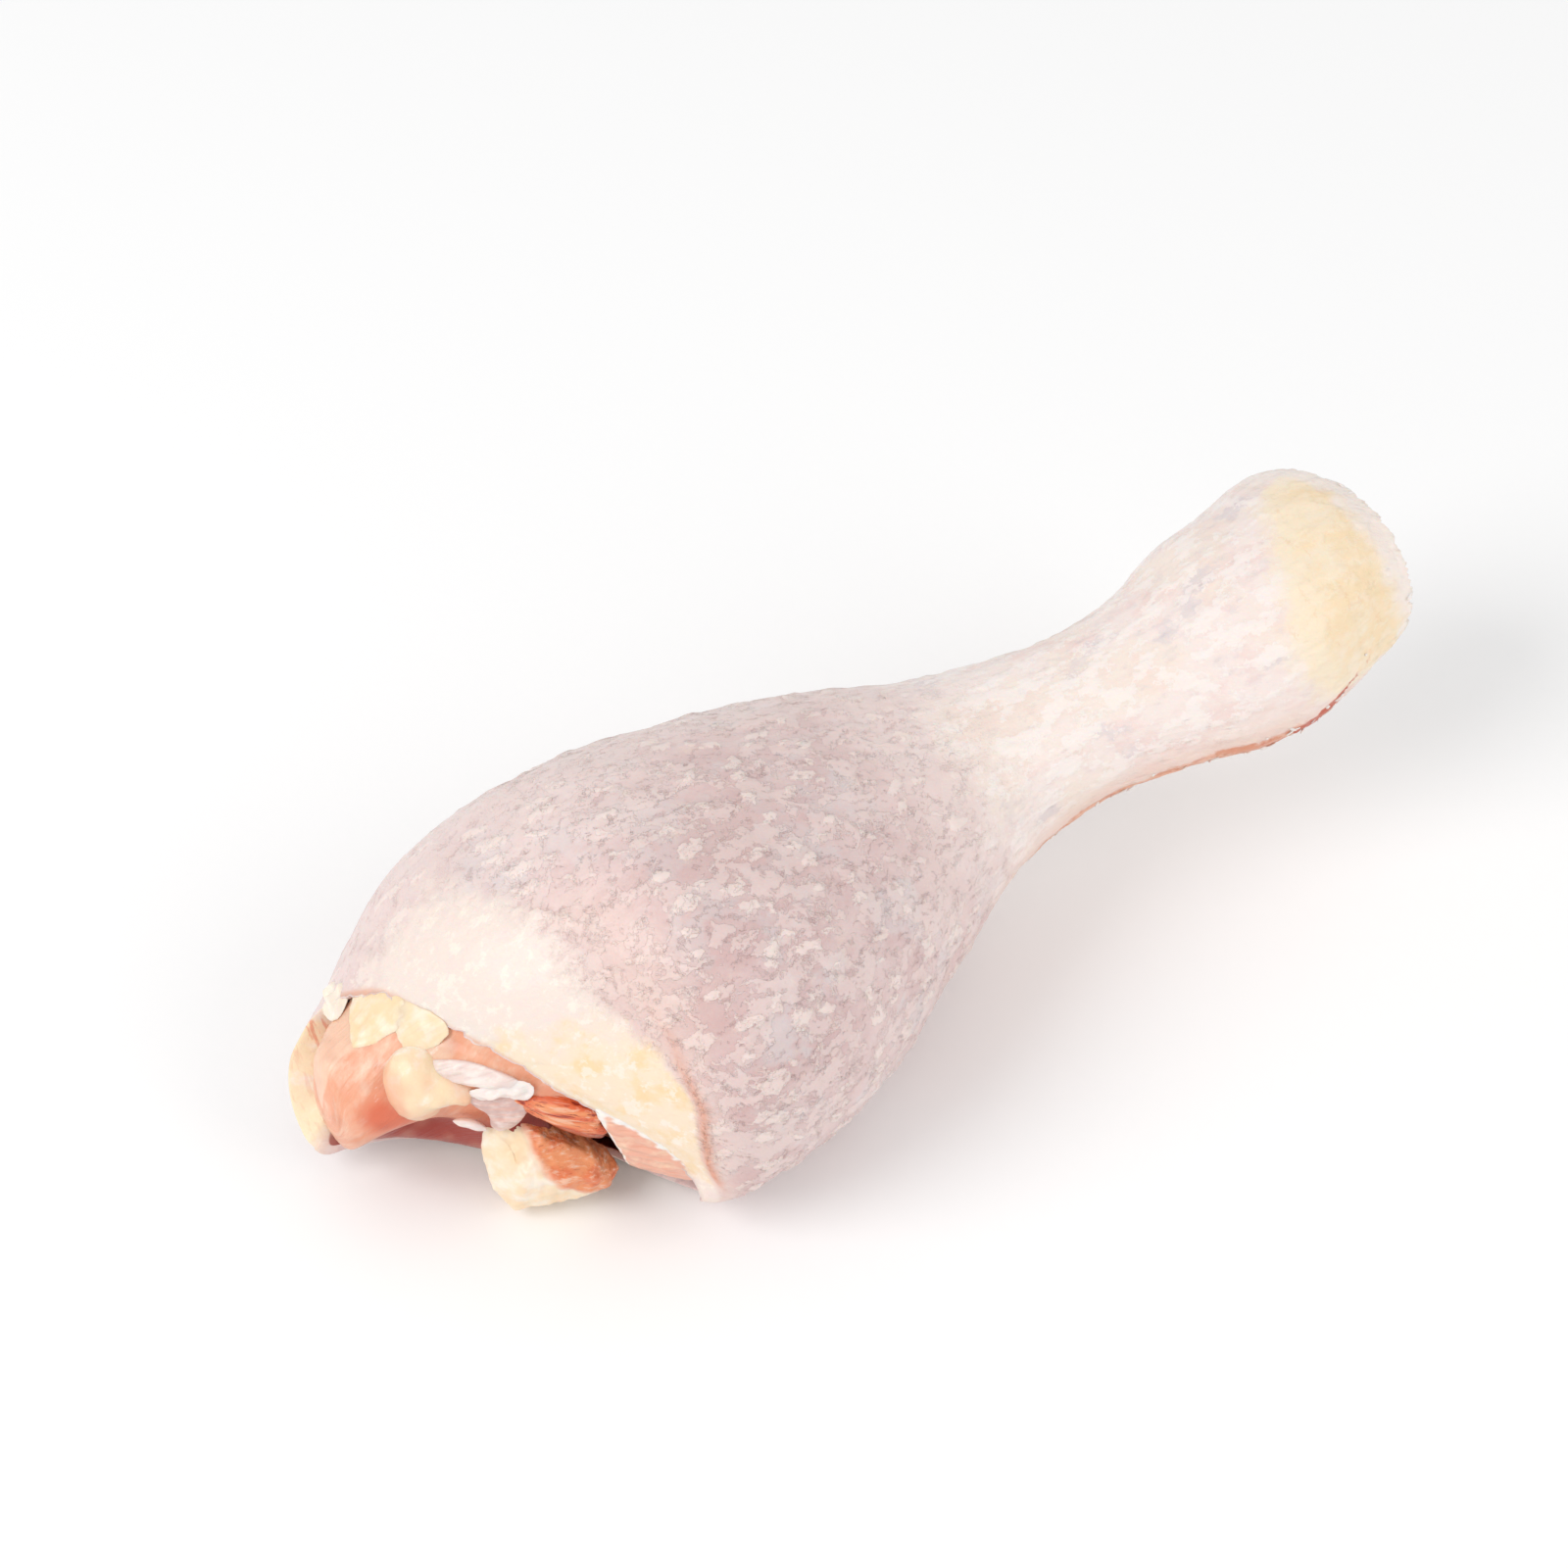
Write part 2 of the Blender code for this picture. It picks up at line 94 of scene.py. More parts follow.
# Where the belly is drawn in beside the cut: along, angle, reach along, reach round, depth.
TUCK = (-46.5, 232, 4.6, 19, 2.6)

# Where the skin stops at the knee: angle, place along.
SKIN_EDGE = np.array([
    (0, -73.2), (28, -71.4), (50, -67.4), (70, -65.4), (90, -63.2), (110, -61.6), (130, -59.4),
    (150, -55.9), (164, -53.0), (177, -48.9), (190, -45.0), (205, -41.4), (221, -39.2),
    (231, -40.6), (240, -53.0), (249, -67.5), (258, -72.6), (275, -73.6), (310, -73.8),
    (335, -73.6), (360, -73.2),
])
SKIN_HOCK_EDGE = 71.8
SKIN_THICK = 0.9
LIP_THICK = 5.0
LIP_ANGLE = 325
FLESH_UNDER_SKIN = 1.05
FLESH_BARE = 0.55

# Lines on the skin: angle, place along.
FOLD_LINE = np.array([
    (80, -45.5), (95, -44.2), (108, -43.1), (122, -42.9), (135, -42.7), (148, -42.1),
    (159, -41.6), (176, -40.8), (194, -40.2), (212, -39.4), (235, -38.5),
])
YELLOW_LINE = np.array([
    (0, 78.0), (46, 78.0), (54, 74.5), (59, 67.0), (65, 61.0), (80, 57.0), (103, 53.6),
    (131, 50.8), (150, 50.4), (167, 51.6), (185, 54.5), (196, 60.0), (206, 68.0), (222, 77.0),
    (360, 78.0),
])

# Where the white rim of the hock begins, and the torn red edge below it.
HOCK_RIM_LINE = np.array([
    (0, 66.0), (40, 62.0), (58, 62.4), (68, 65.0), (81, 67.0), (111, 67.8), (150, 68.6),
    (170, 69.6), (186, 70.5), (215, 70.5), (250, 67.5), (360, 66.0),
])
TORN_LINE = np.array([
    (0, 62.0), (180, 63.5), (188, 61.0), (194, 57.8), (206, 55.3), (216, 53.3), (230, 51.0),
    (360, 51.0),
])

# ------------------------------------------------------------------------ colours

COLOURS = {
    "lavender": "#d6b7b5", "lavender_pale": "#e3cbc8", "grey_pink": "#f0ddd8",
    "patch": "#ead6d1", "fleck": "#f4e3dc", "furrow": "#c09d9a", "shank": "#f6e7e1",
    "belly_grey": "#ddd5d5", "mauve": "#c9a4a0", "shank_peach": "#f2cfbc",
    "shank_pink": "#f3ddd7", "shank_grey": "#dfd4d5",
    "shank_cream": "#f6e6d6", "shank_white": "#fbf1ec",
    "smooth_white": "#f0e0d6", "smooth_cream": "#f8e2c9", "smooth_yellow": "#f6d8ac",
    "fold_pink": "#ecd0c6", "fold": "#e39f82",
    "hock_yellow": "#f9dfba", "hock_pale": "#fae8cf", "hock_crease": "#efc497",
    "hock_rim": "#f8ece5", "edge_line": "#e3a587", "torn": "#c65a3c",
    "raw_edge": "#dd8a62", "raw_pale": "#ecb193", "raw_deep": "#c9694a",
    "fat_cream": "#fae4c2", "fat_pink": "#eba688", "fat_white": "#fbeee2",
    "fat_warm": "#f8dbb2", "fat_soft": "#fae5cb",
    "flesh": "#f0a886", "flesh_pale": "#f6cdb2", "flesh_red": "#dd6a48",
    # The first two colours here are painted shade: dark red under the cut and near black in its
    # pocket.
    "flesh_dark": "#9c2a16", "hollow": "#430b06", "flap": "#f0b49c",
    "muscle": "#e4693c", "muscle_orange": "#f09a68", "muscle_dark": "#8c1a10",
    "cartilage": "#f9deba", "cartilage_pink": "#f1b997", "cartilage_white": "#fcefdf",
    "sinew": "#ecd7d0", "sinew_white": "#f7ece4", "sinew_grey": "#cfaea8",
    "tissue_white": "#faf2ec", "blue_white": "#dde0ea", "floor": "#ffffff",
}


def linear(code):
    """Scene colour from an sRGB hex code."""
    parts = [int(code[i:i + 2], 16) / 255 for i in (1, 3, 5)]
    return tuple(
        c / 12.92 if c <= 0.04045 else ((c + 0.055) / 1.055) ** 2.4 for c in parts
    ) + (1.0,)


def shade(name):
    return linear(COLOURS[name])


# ------------------------------------------------------------------ numbers, curves

def curve_through(stations, column, at):
    """Smooth curve through one column of a table of stations."""
    xs = stations[:, 0]
    ys = stations[:, column]
    slopes = np.gradient(ys, xs)
    left = np.clip(np.searchsorted(xs, at) - 1, 0, len(xs) - 2)
    span = xs[left + 1] - xs[left]
    t = np.clip((at - xs[left]) / span, 0.0, 1.0)
    start = (2 * t**3 - 3 * t**2 + 1) * ys[left] + (t**3 - 2 * t**2 + t) * span * slopes[left]
    end = (3 * t**2 - 2 * t**3) * ys[left + 1] + (t**3 - t**2) * span * slopes[left + 1]
    return start + end


def closed_curve(points, count):
    """Smooth closed curve through a loop of points."""
    points = np.asarray(points, float)
    at = np.linspace(0, len(points), count, endpoint=False)
    i = at.astype(int)
    t = (at - i)[:, None]
    before, here, after, beyond = (points[(i + k) % len(points)] for k in (-1, 0, 1, 2))
    return 0.5 * (
        2 * here + (after - before) * t
        + (2 * before - 5 * here + 4 * after - beyond) * t**2
        + (3 * here - before - 3 * after + beyond) * t**3
    )


def smoothstep(value, low, high):
    t = np.clip((value - low) / (high - low), 0.0, 1.0)
    return t * t * (3 - 2 * t)


def turn_from(angle, middle):
    """Signed turn in degrees from a direction."""
    return (angle - middle + 180) % 360 - 180


def hill(x, angle, x_mid, angle_mid, x_reach, angle_reach):
    """Rounded bump of height one on the unrolled surface."""
    turn = turn_from(angle, angle_mid)
    return np.exp(-((x - x_mid) / x_reach) ** 2 - (turn / angle_reach) ** 2)


def waves(points, size, seed, count=16):
    """Smooth random field of about -1 to 1 whose features have the given size."""
    rng = np.random.default_rng(seed)
    points = np.asarray(points, float)
    total = np.zeros(points.shape[:-1])
    for _ in range(count):
        way = rng.normal(size=points.shape[-1])
        way = way / np.linalg.norm(way)
        pitch = 2 * size * rng.uniform(0.7, 1.5)
        total += np.sin(points @ way * 2 * pi / pitch + rng.uniform(0, 2 * pi))
    return total / count**0.5


def outside(x, angle):
    """Outer surface of the leg, flattened where it lies on the floor."""
    x, angle = np.broadcast_arrays(np.asarray(x, float), np.asarray(angle, float))
    middle, under, half_width, half_height = (
        curve_through(SECTIONS, column, x) for column in (1, 2, 3, 4)
    )
    across = np.cos(np.radians(angle))
    up = np.sin(np.radians(angle))
    reach = (np.abs(across) ** FULLNESS + np.abs(up) ** FULLNESS) ** (-1 / FULLNESS)
    y = middle + half_width * across * reach
    z = np.maximum(under + half_height + half_height * up * reach, 0.0)
    drawn_in = TUCK[4] * hill(x, angle, *TUCK[:4])
    return np.stack([x, y - drawn_in * across, z - drawn_in * up], -1)


def section_middle(x):
    """Middle of the leg's section, sideways and up."""
    middle, under, half_height = (curve_through(SECTIONS, column, x) for column in (1, 2, 4))
    return np.stack([middle, under + half_height], -1)


def directions(x, angle):
    """Outward, along and around directions of the outer surface."""
    along = outside(x + 0.4, angle) - outside(x - 0.4, angle)
    around = outside(x, angle + 1.5) - outside(x, angle - 1.5)
    out = -np.cross(along, around)
    return tuple(
        way / np.linalg.norm(way, axis=-1, keepdims=True) for way in (out, along, around)
    )


def unrolled(x, angle):
    """Distance round the leg from its top, so that patterns keep their true scale."""
    x, angle = np.broadcast_arrays(np.asarray(x, float), np.asarray(angle, float))
    stations = np.linspace(-74, 74, 149)
    turns = np.linspace(-90, 270, 181)
    surface = outside(stations[:, None], turns[None, :])
    steps = np.linalg.norm(np.diff(surface, axis=1), axis=-1)
    table = np.concatenate([np.zeros((149, 1)), np.cumsum(steps, axis=1)], axis=1)
    table = table - table[:, 90:91]
    row = np.clip(x + 74, 0, 147.999)
    column = np.clip((angle + 90) % 360 / 2, 0, 179.999)
    i, j = row.astype(int), column.astype(int)
    u, v = row - i, column - j
    near = table[i, j] * (1 - v) + table[i, j + 1] * v
    far = table[i + 1, j] * (1 - v) + table[i + 1, j + 1] * v
    return near * (1 - u) + far * u


def skin_edge(angle):
    return curve_through(SKIN_EDGE, 1, angle % 360)


def lip_share(x, angle):
    """One on the thick fatty lip at the far side of the cut."""
    turn = turn_from(angle, LIP_ANGLE)
    around = smoothstep(turn, 104, 76) * smoothstep(-turn, 74, 40)
    return around * smoothstep(x, -63.0, -70.5)


def skin_thick(x, angle):
    return SKIN_THICK + (LIP_THICK - SKIN_THICK) * lip_share(x, angle)


NOSE_FROM = -67.0  # from here to the knee end the flesh is rounded off
NOSE_RINGS = 14

# Where the bare flesh underneath is painted dark as shade: place along, angle.
LOW_LINE = np.array([(-72, 206), (-68, 199), (-63, 195), (-58, 192), (-46, 188)])

# Hollows and swellings of the cut face: along, angle, reach along, reach round, depth.
HOLLOWS = (
    (-48.4, 200, 2.9, 16, 7.5),  # pocket under the loose corner of the skin
    (-62.5, 203, 4.0, 16, 2.0),  # under the knob of the bone
    (-68.3, 160, 3.4, 34, -0.7),  # flesh swelling beyond the knob
    (-57.5, 178, 4.0, 16, 1.0),  # round the sinews
    (-53.2, 190, 3.8, 9, 2.6),  # drawn back above the knuckle
    (-43.0, 222, 5.5, 20, 5.5),  # slack below the loose flap
    (-68.0, 216, 4.5, 26, 1.3),  # drawn up where the fatty lip turns under
)


def flesh_depth(x, angle):
    """Depth of the flesh below the outer surface."""
    covered = skin_thick(x - 3.0, angle) - SKIN_THICK + FLESH_UNDER_SKIN
    past_edge = skin_edge(angle) - x
    seen = smoothstep(angle, 40, 62) * smoothstep(angle, 250, 238)
    bare = smoothstep(past_edge, 0.2, 2.2) * seen
    depth = covered * (1 - bare) + FLESH_BARE * bare
    for x_mid, angle_mid, x_reach, angle_reach, deep in HOLLOWS:
        depth = depth + deep * hill(x, angle, x_mid, angle_mid, x_reach, angle_reach)
    return depth


def flesh(x, angle):
    """Surface of the flesh, drawn in from the outer surface ring by ring."""
    x, angle = np.broadcast_arrays(np.asarray(x, float), np.asarray(angle, float))
    surface = outside(x, angle)
    out = directions(x, angle)[0]
    flat = out[..., 1:]
    steep = np.linalg.norm(flat, axis=-1, keepdims=True)
    radius = np.linalg.norm(surface[..., 1:] - section_middle(x), axis=-1, keepdims=True)
    depth = flesh_depth(x, angle % 360)[..., None]
    shift = np.minimum(depth / np.maximum(steep, 0.25), 0.85 * radius)
    inset = surface.copy()
    inset[..., 1:] -= flat / steep * shift
    inset[..., 2] = np.maximum(inset[..., 2], 1.0)
    return inset


def laid_on_skin():
    """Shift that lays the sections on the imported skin, after a check of their size."""
    low, high = (np.array(corner) / MM for corner in SKIN_BOX)
    along = np.linspace(SKIN_EDGE[:, 1].min(), SKIN_HOCK_EDGE, 200)
    own = outside(along[:, None], np.arange(0.0, 360.0, 2.0)[None, :]).reshape(-1, 3)
    if np.abs((high - low) - np.ptp(own, axis=0)).max() > 2.0:
        raise ValueError("the sections do not fit the packed skin")
    shift = (high + low - own.max(axis=0) - own.min(axis=0)) / 2
    return np.array([shift[0], shift[1], 0.0])


HOME = laid_on_skin()


# ------------------------------------------------------------------- mesh building

def mesh_object(name, points, faces):
    mesh = bpy.data.meshes.new(name)
    mesh.from_pydata(((np.asarray(points) + HOME) * MM).tolist(), [], faces)
    mesh.update()
    obj = bpy.data.objects.new(name, mesh)
    bpy.context.scene.collection.objects.link(obj)
    return obj


def grid_faces(rows, columns, closed_rows=False):
    """Quads of a grid of rings, facing out for rings that run along +X."""
    last = rows if closed_rows else rows - 1
    row = np.arange(last)[:, None]
    column = np.arange(columns)[None, :]
    after = (column + 1) % columns
    below = (row + 1) % rows
    quads = np.stack([
        row * columns + column, row * columns + after,
        below * columns + after, below * columns + column,
    ], -1)
    return quads.reshape(-1, 4).tolist()


def capped_rings(rings):
    """Points and faces of a closed body through rings, with a point closing each end."""
    rings = np.asarray(rings)
    rows, columns = rings.shape[:2]
    faces = grid_faces(rows, columns)
    first = rows * columns
    end = (rows - 1) * columns
    for column in range(columns):
        after = (column + 1) % columns
        faces.append((first, after, column))
        faces.append((first + 1, end + column, end + after))
    tips = [rings[0].mean(axis=0), rings[-1].mean(axis=0)]
    return np.concatenate([rings.reshape(-1, 3), tips]), faces


def store(obj, name, values):
    """Keep numbers or vectors on the points of a mesh, for its material and trees."""
    values = np.asarray(values, np.float32)
    kind = "FLOAT_VECTOR" if values.ndim == 2 else "FLOAT"
    kept = obj.data.attributes.new(name, kind, "POINT")
    kept.data.foreach_set("vector" if values.ndim == 2 else "value", values.reshape(-1))


def points_of(obj):
    co = np.zeros(len(obj.data.vertices) * 3, np.float32)
    obj.data.vertices.foreach_get("co", co)
    return co.reshape(-1, 3).astype(float) / MM


def move_points(obj, points):
    obj.data.vertices.foreach_set("co", (points * MM).astype(np.float32).reshape(-1))
    obj.data.update()


def keep_above(obj, height):
    """Flatten what would reach into the floor."""
    points = points_of(obj)
    points[:, 2] = np.maximum(points[:, 2], height)
    move_points(obj, points)


def normals_of(obj):
    kept = np.zeros(len(obj.data.vertices) * 3, np.float32)
    obj.data.vertices.foreach_get("normal", kept)
    return kept.reshape(-1, 3).astype(float)


def face_out(obj):
    shape = bmesh.new()
    shape.from_mesh(obj.data)
    bmesh.ops.recalc_face_normals(shape, faces=shape.faces)
    shape.to_mesh(obj.data)
    shape.free()


def settle(obj):
    """Turn what the modifiers make into a plain mesh."""
    bpy.context.view_layer.update()
    graph = bpy.context.evaluated_depsgraph_get()
    made = bpy.data.meshes.new_from_object(
        obj.evaluated_get(graph), preserve_all_data_layers=True, depsgraph=graph
    )
    obj.modifiers.clear()
    obj.data = made


def finish_piece(obj, slot, *nodes):
    for polygon in obj.data.polygons:
        polygon.use_smooth = True
    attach(obj, "root")
    if nodes:
        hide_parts(*nodes)


# ---------------------------------------------------------------- nodes, patterns

MATH = "ShaderNodeMath"
NOISE = "ShaderNodeTexNoise"  # cloudy, its scale 1 over the size of its features
STORED = "ShaderNodeAttribute"  # a value kept on the mesh, in a material
NAMED = "GeometryNodeInputNamedAttribute"  # the same, in a geometry tree
VECTOR_MATH = "ShaderNodeVectorMath"
RAMP = "ShaderNodeMapRange"  # given a value and the ends of its ramp, which may fall
SMOOTH = {"interpolation_type": "SMOOTHSTEP"}


def node(tree, kind, *given, **settings):
    """Add a node with its settings and links.

    What is given is numbers, colours, sockets or nodes, in the order of the node's
    own sockets, or in a dict by their names.
    """
    made = tree.nodes.new(kind)
    for key, value in settings.items():
        setattr(made, key, value)
    by_name = given and isinstance(given[0], dict)
    for key, value in (given[0] if by_name else dict(enumerate(given))).items():
        if isinstance(value, bpy.types.Node):
            value = value.outputs[0]
        if isinstance(value, bpy.types.NodeSocket):
            tree.links.new(value, made.inputs[key])
        else:
            made.inputs[key].default_value = value
    return made


def stretched(tree, place, size, stretch):
    """A place in units of a pattern's feature size, drawn out along its axes."""
    share = tuple(1 / (size * s) for s in stretch)
    return node(tree, VECTOR_MATH, place, share, operation="MULTIPLY")


def ragged(tree, name, place, size, amount, low=0.32, high=0.68):
    """A stored mask whose border is broken up by a pattern."""
    mask = node(tree, STORED, attribute_name=name).outputs["Fac"]
    cloud = node(
        tree, NOISE, {"Vector": place, "Scale": 1 / size, "Detail": 4.0, "Roughness": 0.65}
    )
    shifted = node(tree, MATH, cloud, amount, -amount / 2, operation="MULTIPLY_ADD")
    return node(tree, RAMP, node(tree, MATH, mask, shifted, operation="ADD"), low, high, **SMOOTH)


def paint(tree, base, coats):
    """Lay colours over a base, each through the product of its masks.

    A mask is a pattern, the name of a stored value, or either with the ends of a ramp.
    """
    def ready(mask):
        if isinstance(mask, tuple):
            return node(tree, RAMP, ready(mask[0]), *mask[1:], **SMOOTH)
        if isinstance(mask, str):
            return node(tree, STORED, attribute_name=mask).outputs["Fac"]
        return mask

    base = shade(base) if isinstance(base, str) else base
    for colour, mask, *shares in coats:
        mask = ready(mask)
        for share in shares:
            mask = node(tree, MATH, mask, ready(share), operation="MULTIPLY")
        colour = shade(colour) if isinstance(colour, str) else colour
        base = node(
            tree, "ShaderNodeMix", {0: mask, 6: base, 7: colour}, data_type="RGBA"
        ).outputs[2]
    return base


def swayed(tree, place, size, amount):
    """A place shifted by a cloudy pattern, to break up what is drawn there."""
    cloud = node(tree, NOISE, {
        "Vector": place,
        "Scale": 1 / size, "Detail": 3.0, "Roughness": 0.65,
    })
    centred = node(tree, VECTOR_MATH, cloud.outputs[1], (0.5, 0.5, 0.5), operation="SUBTRACT")
    return node(tree, VECTOR_MATH, {0: centred, "Scale": amount}, operation="SCALE")


def mottling(tree, spacing, body, flat, off_seam):
    """Pale patches, brighter flecks and furrows of plucked skin, each from 0 to 1; the furrows'
    darker colour is partly painted shade.
    """
    jag = swayed(tree, body, 0.8, 1.9)
    sway = swayed(tree, body, 6.0, 6.0)
    bend = node(tree, VECTOR_MATH, body, jag, operation="ADD")
    bend = node(tree, VECTOR_MATH, bend, sway, operation="ADD")
    flat = node(tree, VECTOR_MATH, flat, jag, operation="ADD")
    flat = node(tree, VECTOR_MATH, flat, sway, operation="ADD")
    cloud = node(tree, NOISE, {
        "Vector": stretched(tree, bend, 3.1, (1.6, 0.95, 0.95)),
        "Scale": 1.0, "Detail": 3.0, "Roughness": 0.62,
    })
    patch = node(tree, RAMP, cloud, 0.495, 0.535, **SMOOTH)
    cell = node(
        tree, VECTOR_MATH, flat, (1 / (spacing * 1.3), 1 / (spacing * 0.8), 0.0),
        operation="MULTIPLY",
    )
    spread = node(
        tree, "ShaderNodeTexVoronoi", {"Vector": cell, "Scale": 1.0, "Randomness": 0.9},
        voronoi_dimensions="2D",
    )
    size = node(tree, "ShaderNodeSeparateXYZ", spread.outputs["Color"])
    limit = node(tree, MATH, size, 0.26, 0.06, operation="MULTIPLY_ADD")
    within = node(tree, MATH, limit, spread.outputs["Distance"], operation="SUBTRACT")
    fleck = node(tree, RAMP, within, -0.02, 0.05, **SMOOTH)
    fleck = node(tree, MATH, fleck, off_seam, operation="MULTIPLY")
    dash = node(tree, NOISE, {
        "Vector": stretched(tree, bend, 1.1, (2.8, 0.9, 0.9)),
        "Scale": 1.0, "Detail": 2.0, "Roughness": 0.55,
    })
    furrow = node(tree, RAMP, dash, 0.385, 0.345, **SMOOTH)
    return patch, fleck, furrow


def new_material(name):
    """A material, its node tree and its shader."""
    made = bpy.data.materials.new(name)
    made.use_nodes = True
    tree = made.node_tree
    shader = tree.nodes["Principled BSDF"]
    return made, tree, shader


def wet_tissue(tree, shader, colour, rough, bump, bump_depth, scatter=0.0009, coat=0.22):
    """Moist living tissue: light goes a little way in and comes back redder."""
    tree.links.new(colour, shader.inputs["Base Color"])
    shader.inputs["Roughness"].default_value = rough
    shader.inputs["IOR"].default_value = 1.40
    shader.inputs["Specular IOR Level"].default_value = 0.5
    shader.inputs["Subsurface Weight"].default_value = 0.18
    shader.inputs["Subsurface Radius"].default_value = (1.0, 0.42, 0.26)
    shader.inputs["Subsurface Scale"].default_value = scatter
    shader.inputs["Coat Weight"].default_value = coat
    shader.inputs["Coat Roughness"].default_value = 0.22
    relief = node(tree, "ShaderNodeBump", {"Height": bump, "Distance": bump_depth, "Strength": 1.0})
    tree.links.new(relief.outputs[0], shader.inputs["Normal"])


# ----------------------------------------------------------------------- materials

def skin_material(look):
    """Plucked poultry skin: thin, moist, lavender over flesh and cream over fat."""
    made, tree, shader = new_material("plucked_skin")
    place = node(tree, STORED, attribute_name="body_mm").outputs["Vector"]
    patch, fleck, furrow = mottling(
        tree, look.spot_spacing / MM, place,
        node(tree, STORED, attribute_name="skin_mm").outputs["Vector"],
        node(tree, STORED, attribute_name="off_seam").outputs["Fac"],
    )
    wide = node(tree, NOISE, {"Vector": place, "Scale": 1 / 13.0, "Detail": 2.0, "Roughness": 0.5})
    cloudy = node(tree, NOISE, {
        "Vector": stretched(tree, place, 4.0, (1.6, 1.0, 1.0)),
        "Scale": 1.0, "Detail": 4.0, "Roughness": 0.65,
    })
    small = node(tree, NOISE, {
        "Vector": stretched(tree, place, 1.7, (2.2, 1.0, 1.0)),
        "Scale": 1.0, "Detail": 4.0, "Roughness": 0.68,
    })
    fine = node(tree, NOISE, {
        "Vector": stretched(tree, place, 0.9, (1.8, 1.0, 1.0)),
        "Scale": 1.0, "Detail": 3.0, "Roughness": 0.6,
    })
    tone = node(tree, MATH, wide, 0.8, cloudy, operation="MULTIPLY_ADD")
    aside = node(tree, VECTOR_MATH, place, (31.0, 7.0, 11.0), operation="ADD")
    dull = node(tree, NOISE, {"Vector": aside, "Scale": 1 / 10.0, "Detail": 4.0, "Roughness": 0.68})
    base = paint(tree, tuple(look.skin_lavender) + (1.0,), [
        ("lavender_pale", (tone, 0.66, 1.14)),
        ("belly_grey", (dull, 0.50, 0.60), 0.55),
        ("mauve", "mauve", 0.5),
        ("grey_pink", "lighter", 0.75),
        ("patch", patch, 0.55),
        ("fleck", fleck, 0.65),
        # The furrows are painted darker mauve: partly the skin's own colour, partly painted shade
        # in them.
        ("furrow", furrow, 0.24),
    ])
    shank = ragged(tree, "shank", place, 4.0, 0.9, 0.2, 0.8)
    blot = node(tree, VECTOR_MATH, place, swayed(tree, place, 1.0, 2.4), operation="ADD")
    blotch = node(tree, NOISE, {
        "Vector": stretched(tree, blot, 6.0, (1.9, 1.0, 1.0)),
        "Scale": 1.0, "Detail": 3.0, "Roughness": 0.6,
    })
    flaky = node(tree, NOISE, {
        "Vector": stretched(tree, blot, 2.6, (2.0, 0.9, 0.9)),
        "Scale": 1.0, "Detail": 3.0, "Roughness": 0.6,
    })
    shank_colour = paint(tree, "shank", [
        ("shank_pink", (cloudy, 0.46, 0.62)),
        ("shank_cream", (wide, 0.50, 0.62), 0.45),
        ("shank_grey", (blotch, 0.43, 0.33), 0.7),
        ("shank_white", (flaky, 0.51, 0.545), 0.65),
        ("shank_grey", (flaky, 0.38, 0.34), 0.25),
        # Painted warm light: peach on the shank's lower side.
        ("shank_peach", "peach", 0.7),
    ])
    smooth = ragged(tree, "smooth", place, 3.0, 1.1, 0.15, 0.85)
    cream = ragged(tree, "cream", place, 6.0, 0.9)
    smooth_colour = paint(tree, "smooth_white", [
        ("shank_pink", (small, 0.46, 0.36), 0.6),
        ("smooth_cream", cream),
        ("smooth_yellow", cream, (cloudy, 0.54, 0.34)),
        ("fat_white", (small, 0.52, 0.63), 0.7),
    ])
    yellow = ragged(tree, "yellow", blot, 2.6, 0.45, 0.02, 0.30)
    crease = node(tree, NOISE, {
        "Vector": stretched(tree, blot, 1.3, (0.9, 4.0, 4.0)),
        "Scale": 1.0, "Detail": 3.0, "Roughness": 0.6,
    })
    yellow_colour = paint(tree, "hock_pale", [
        ("hock_yellow", ragged(tree, "yellow", blot, 4.0, 0.9, 0.15, 0.75), (cloudy, 0.66, 0.44)),
        ("hock_pale", (flaky, 0.52, 0.55), 0.5),
        # Painted shade: the creases of the hock are painted a deeper yellow.
        ("hock_crease", (crease, 0.38, 0.33), 0.3),
    ])
    # Raw colour on the cut rim, and along the shank's lower edge a reddish band of painted contact
    # shade.
    raw = ragged(tree, "raw", blot, 1.6, 0.8)
    raw_colour = paint(tree, "raw_edge", [
        ("raw_pale", (flaky, 0.46, 0.56)),
        ("raw_deep", (small, 0.48, 0.36), 0.7),
    ])
    torn = ragged(tree, "torn", place, 1.0, 0.9)
    streak = node(tree, NOISE, {
        "Vector": stretched(tree, place, 0.8, (0.8, 4.0, 4.0)),
        "Scale": 1.0, "Detail": 3.0, "Roughness": 0.6,
    })
    lip_colour = paint(tree, "fat_cream", [
        ("fat_white", (cloudy, 0.48, 0.7)),
        ("fat_pink", (streak, 0.50, 0.62), "lip_pink"),
    ])
    colour = paint(tree, base, [
        (shank_colour, shank),
        ("fold_pink", "fold_pink", 0.6),
        (smooth_colour, smooth),
        ("fold", "fold"),
        (yellow_colour, yellow),
        ("hock_rim", "hock_rim"),
        (raw_colour, raw, 0.9),
        ("torn", torn),
        ("edge_line", "edge_line"),
        ("hock_rim", "scrap"),
        (lip_colour, "lip"),
        # Painted shade: the inner side of the skin, where it shows in the pocket, is painted dark
        # red.
        ("flesh_dark", "inside", 0.9),
    ])
    relief = node(tree, MATH, fleck, furrow, operation="SUBTRACT")
    relief = node(tree, MATH, patch, relief, operation="ADD")
    bumpy = node(tree, STORED, attribute_name="bumpy").outputs["Fac"]
    relief = node(tree, MATH, relief, bumpy, operation="MULTIPLY")
    relief = node(tree, MATH, relief, 0.35, operation="MULTIPLY")
    height = node(tree, MATH, fine, 0.8, relief, operation="MULTIPLY_ADD")
    wet_tissue(tree, shader, colour, 0.42, height, 0.0002)
    return made


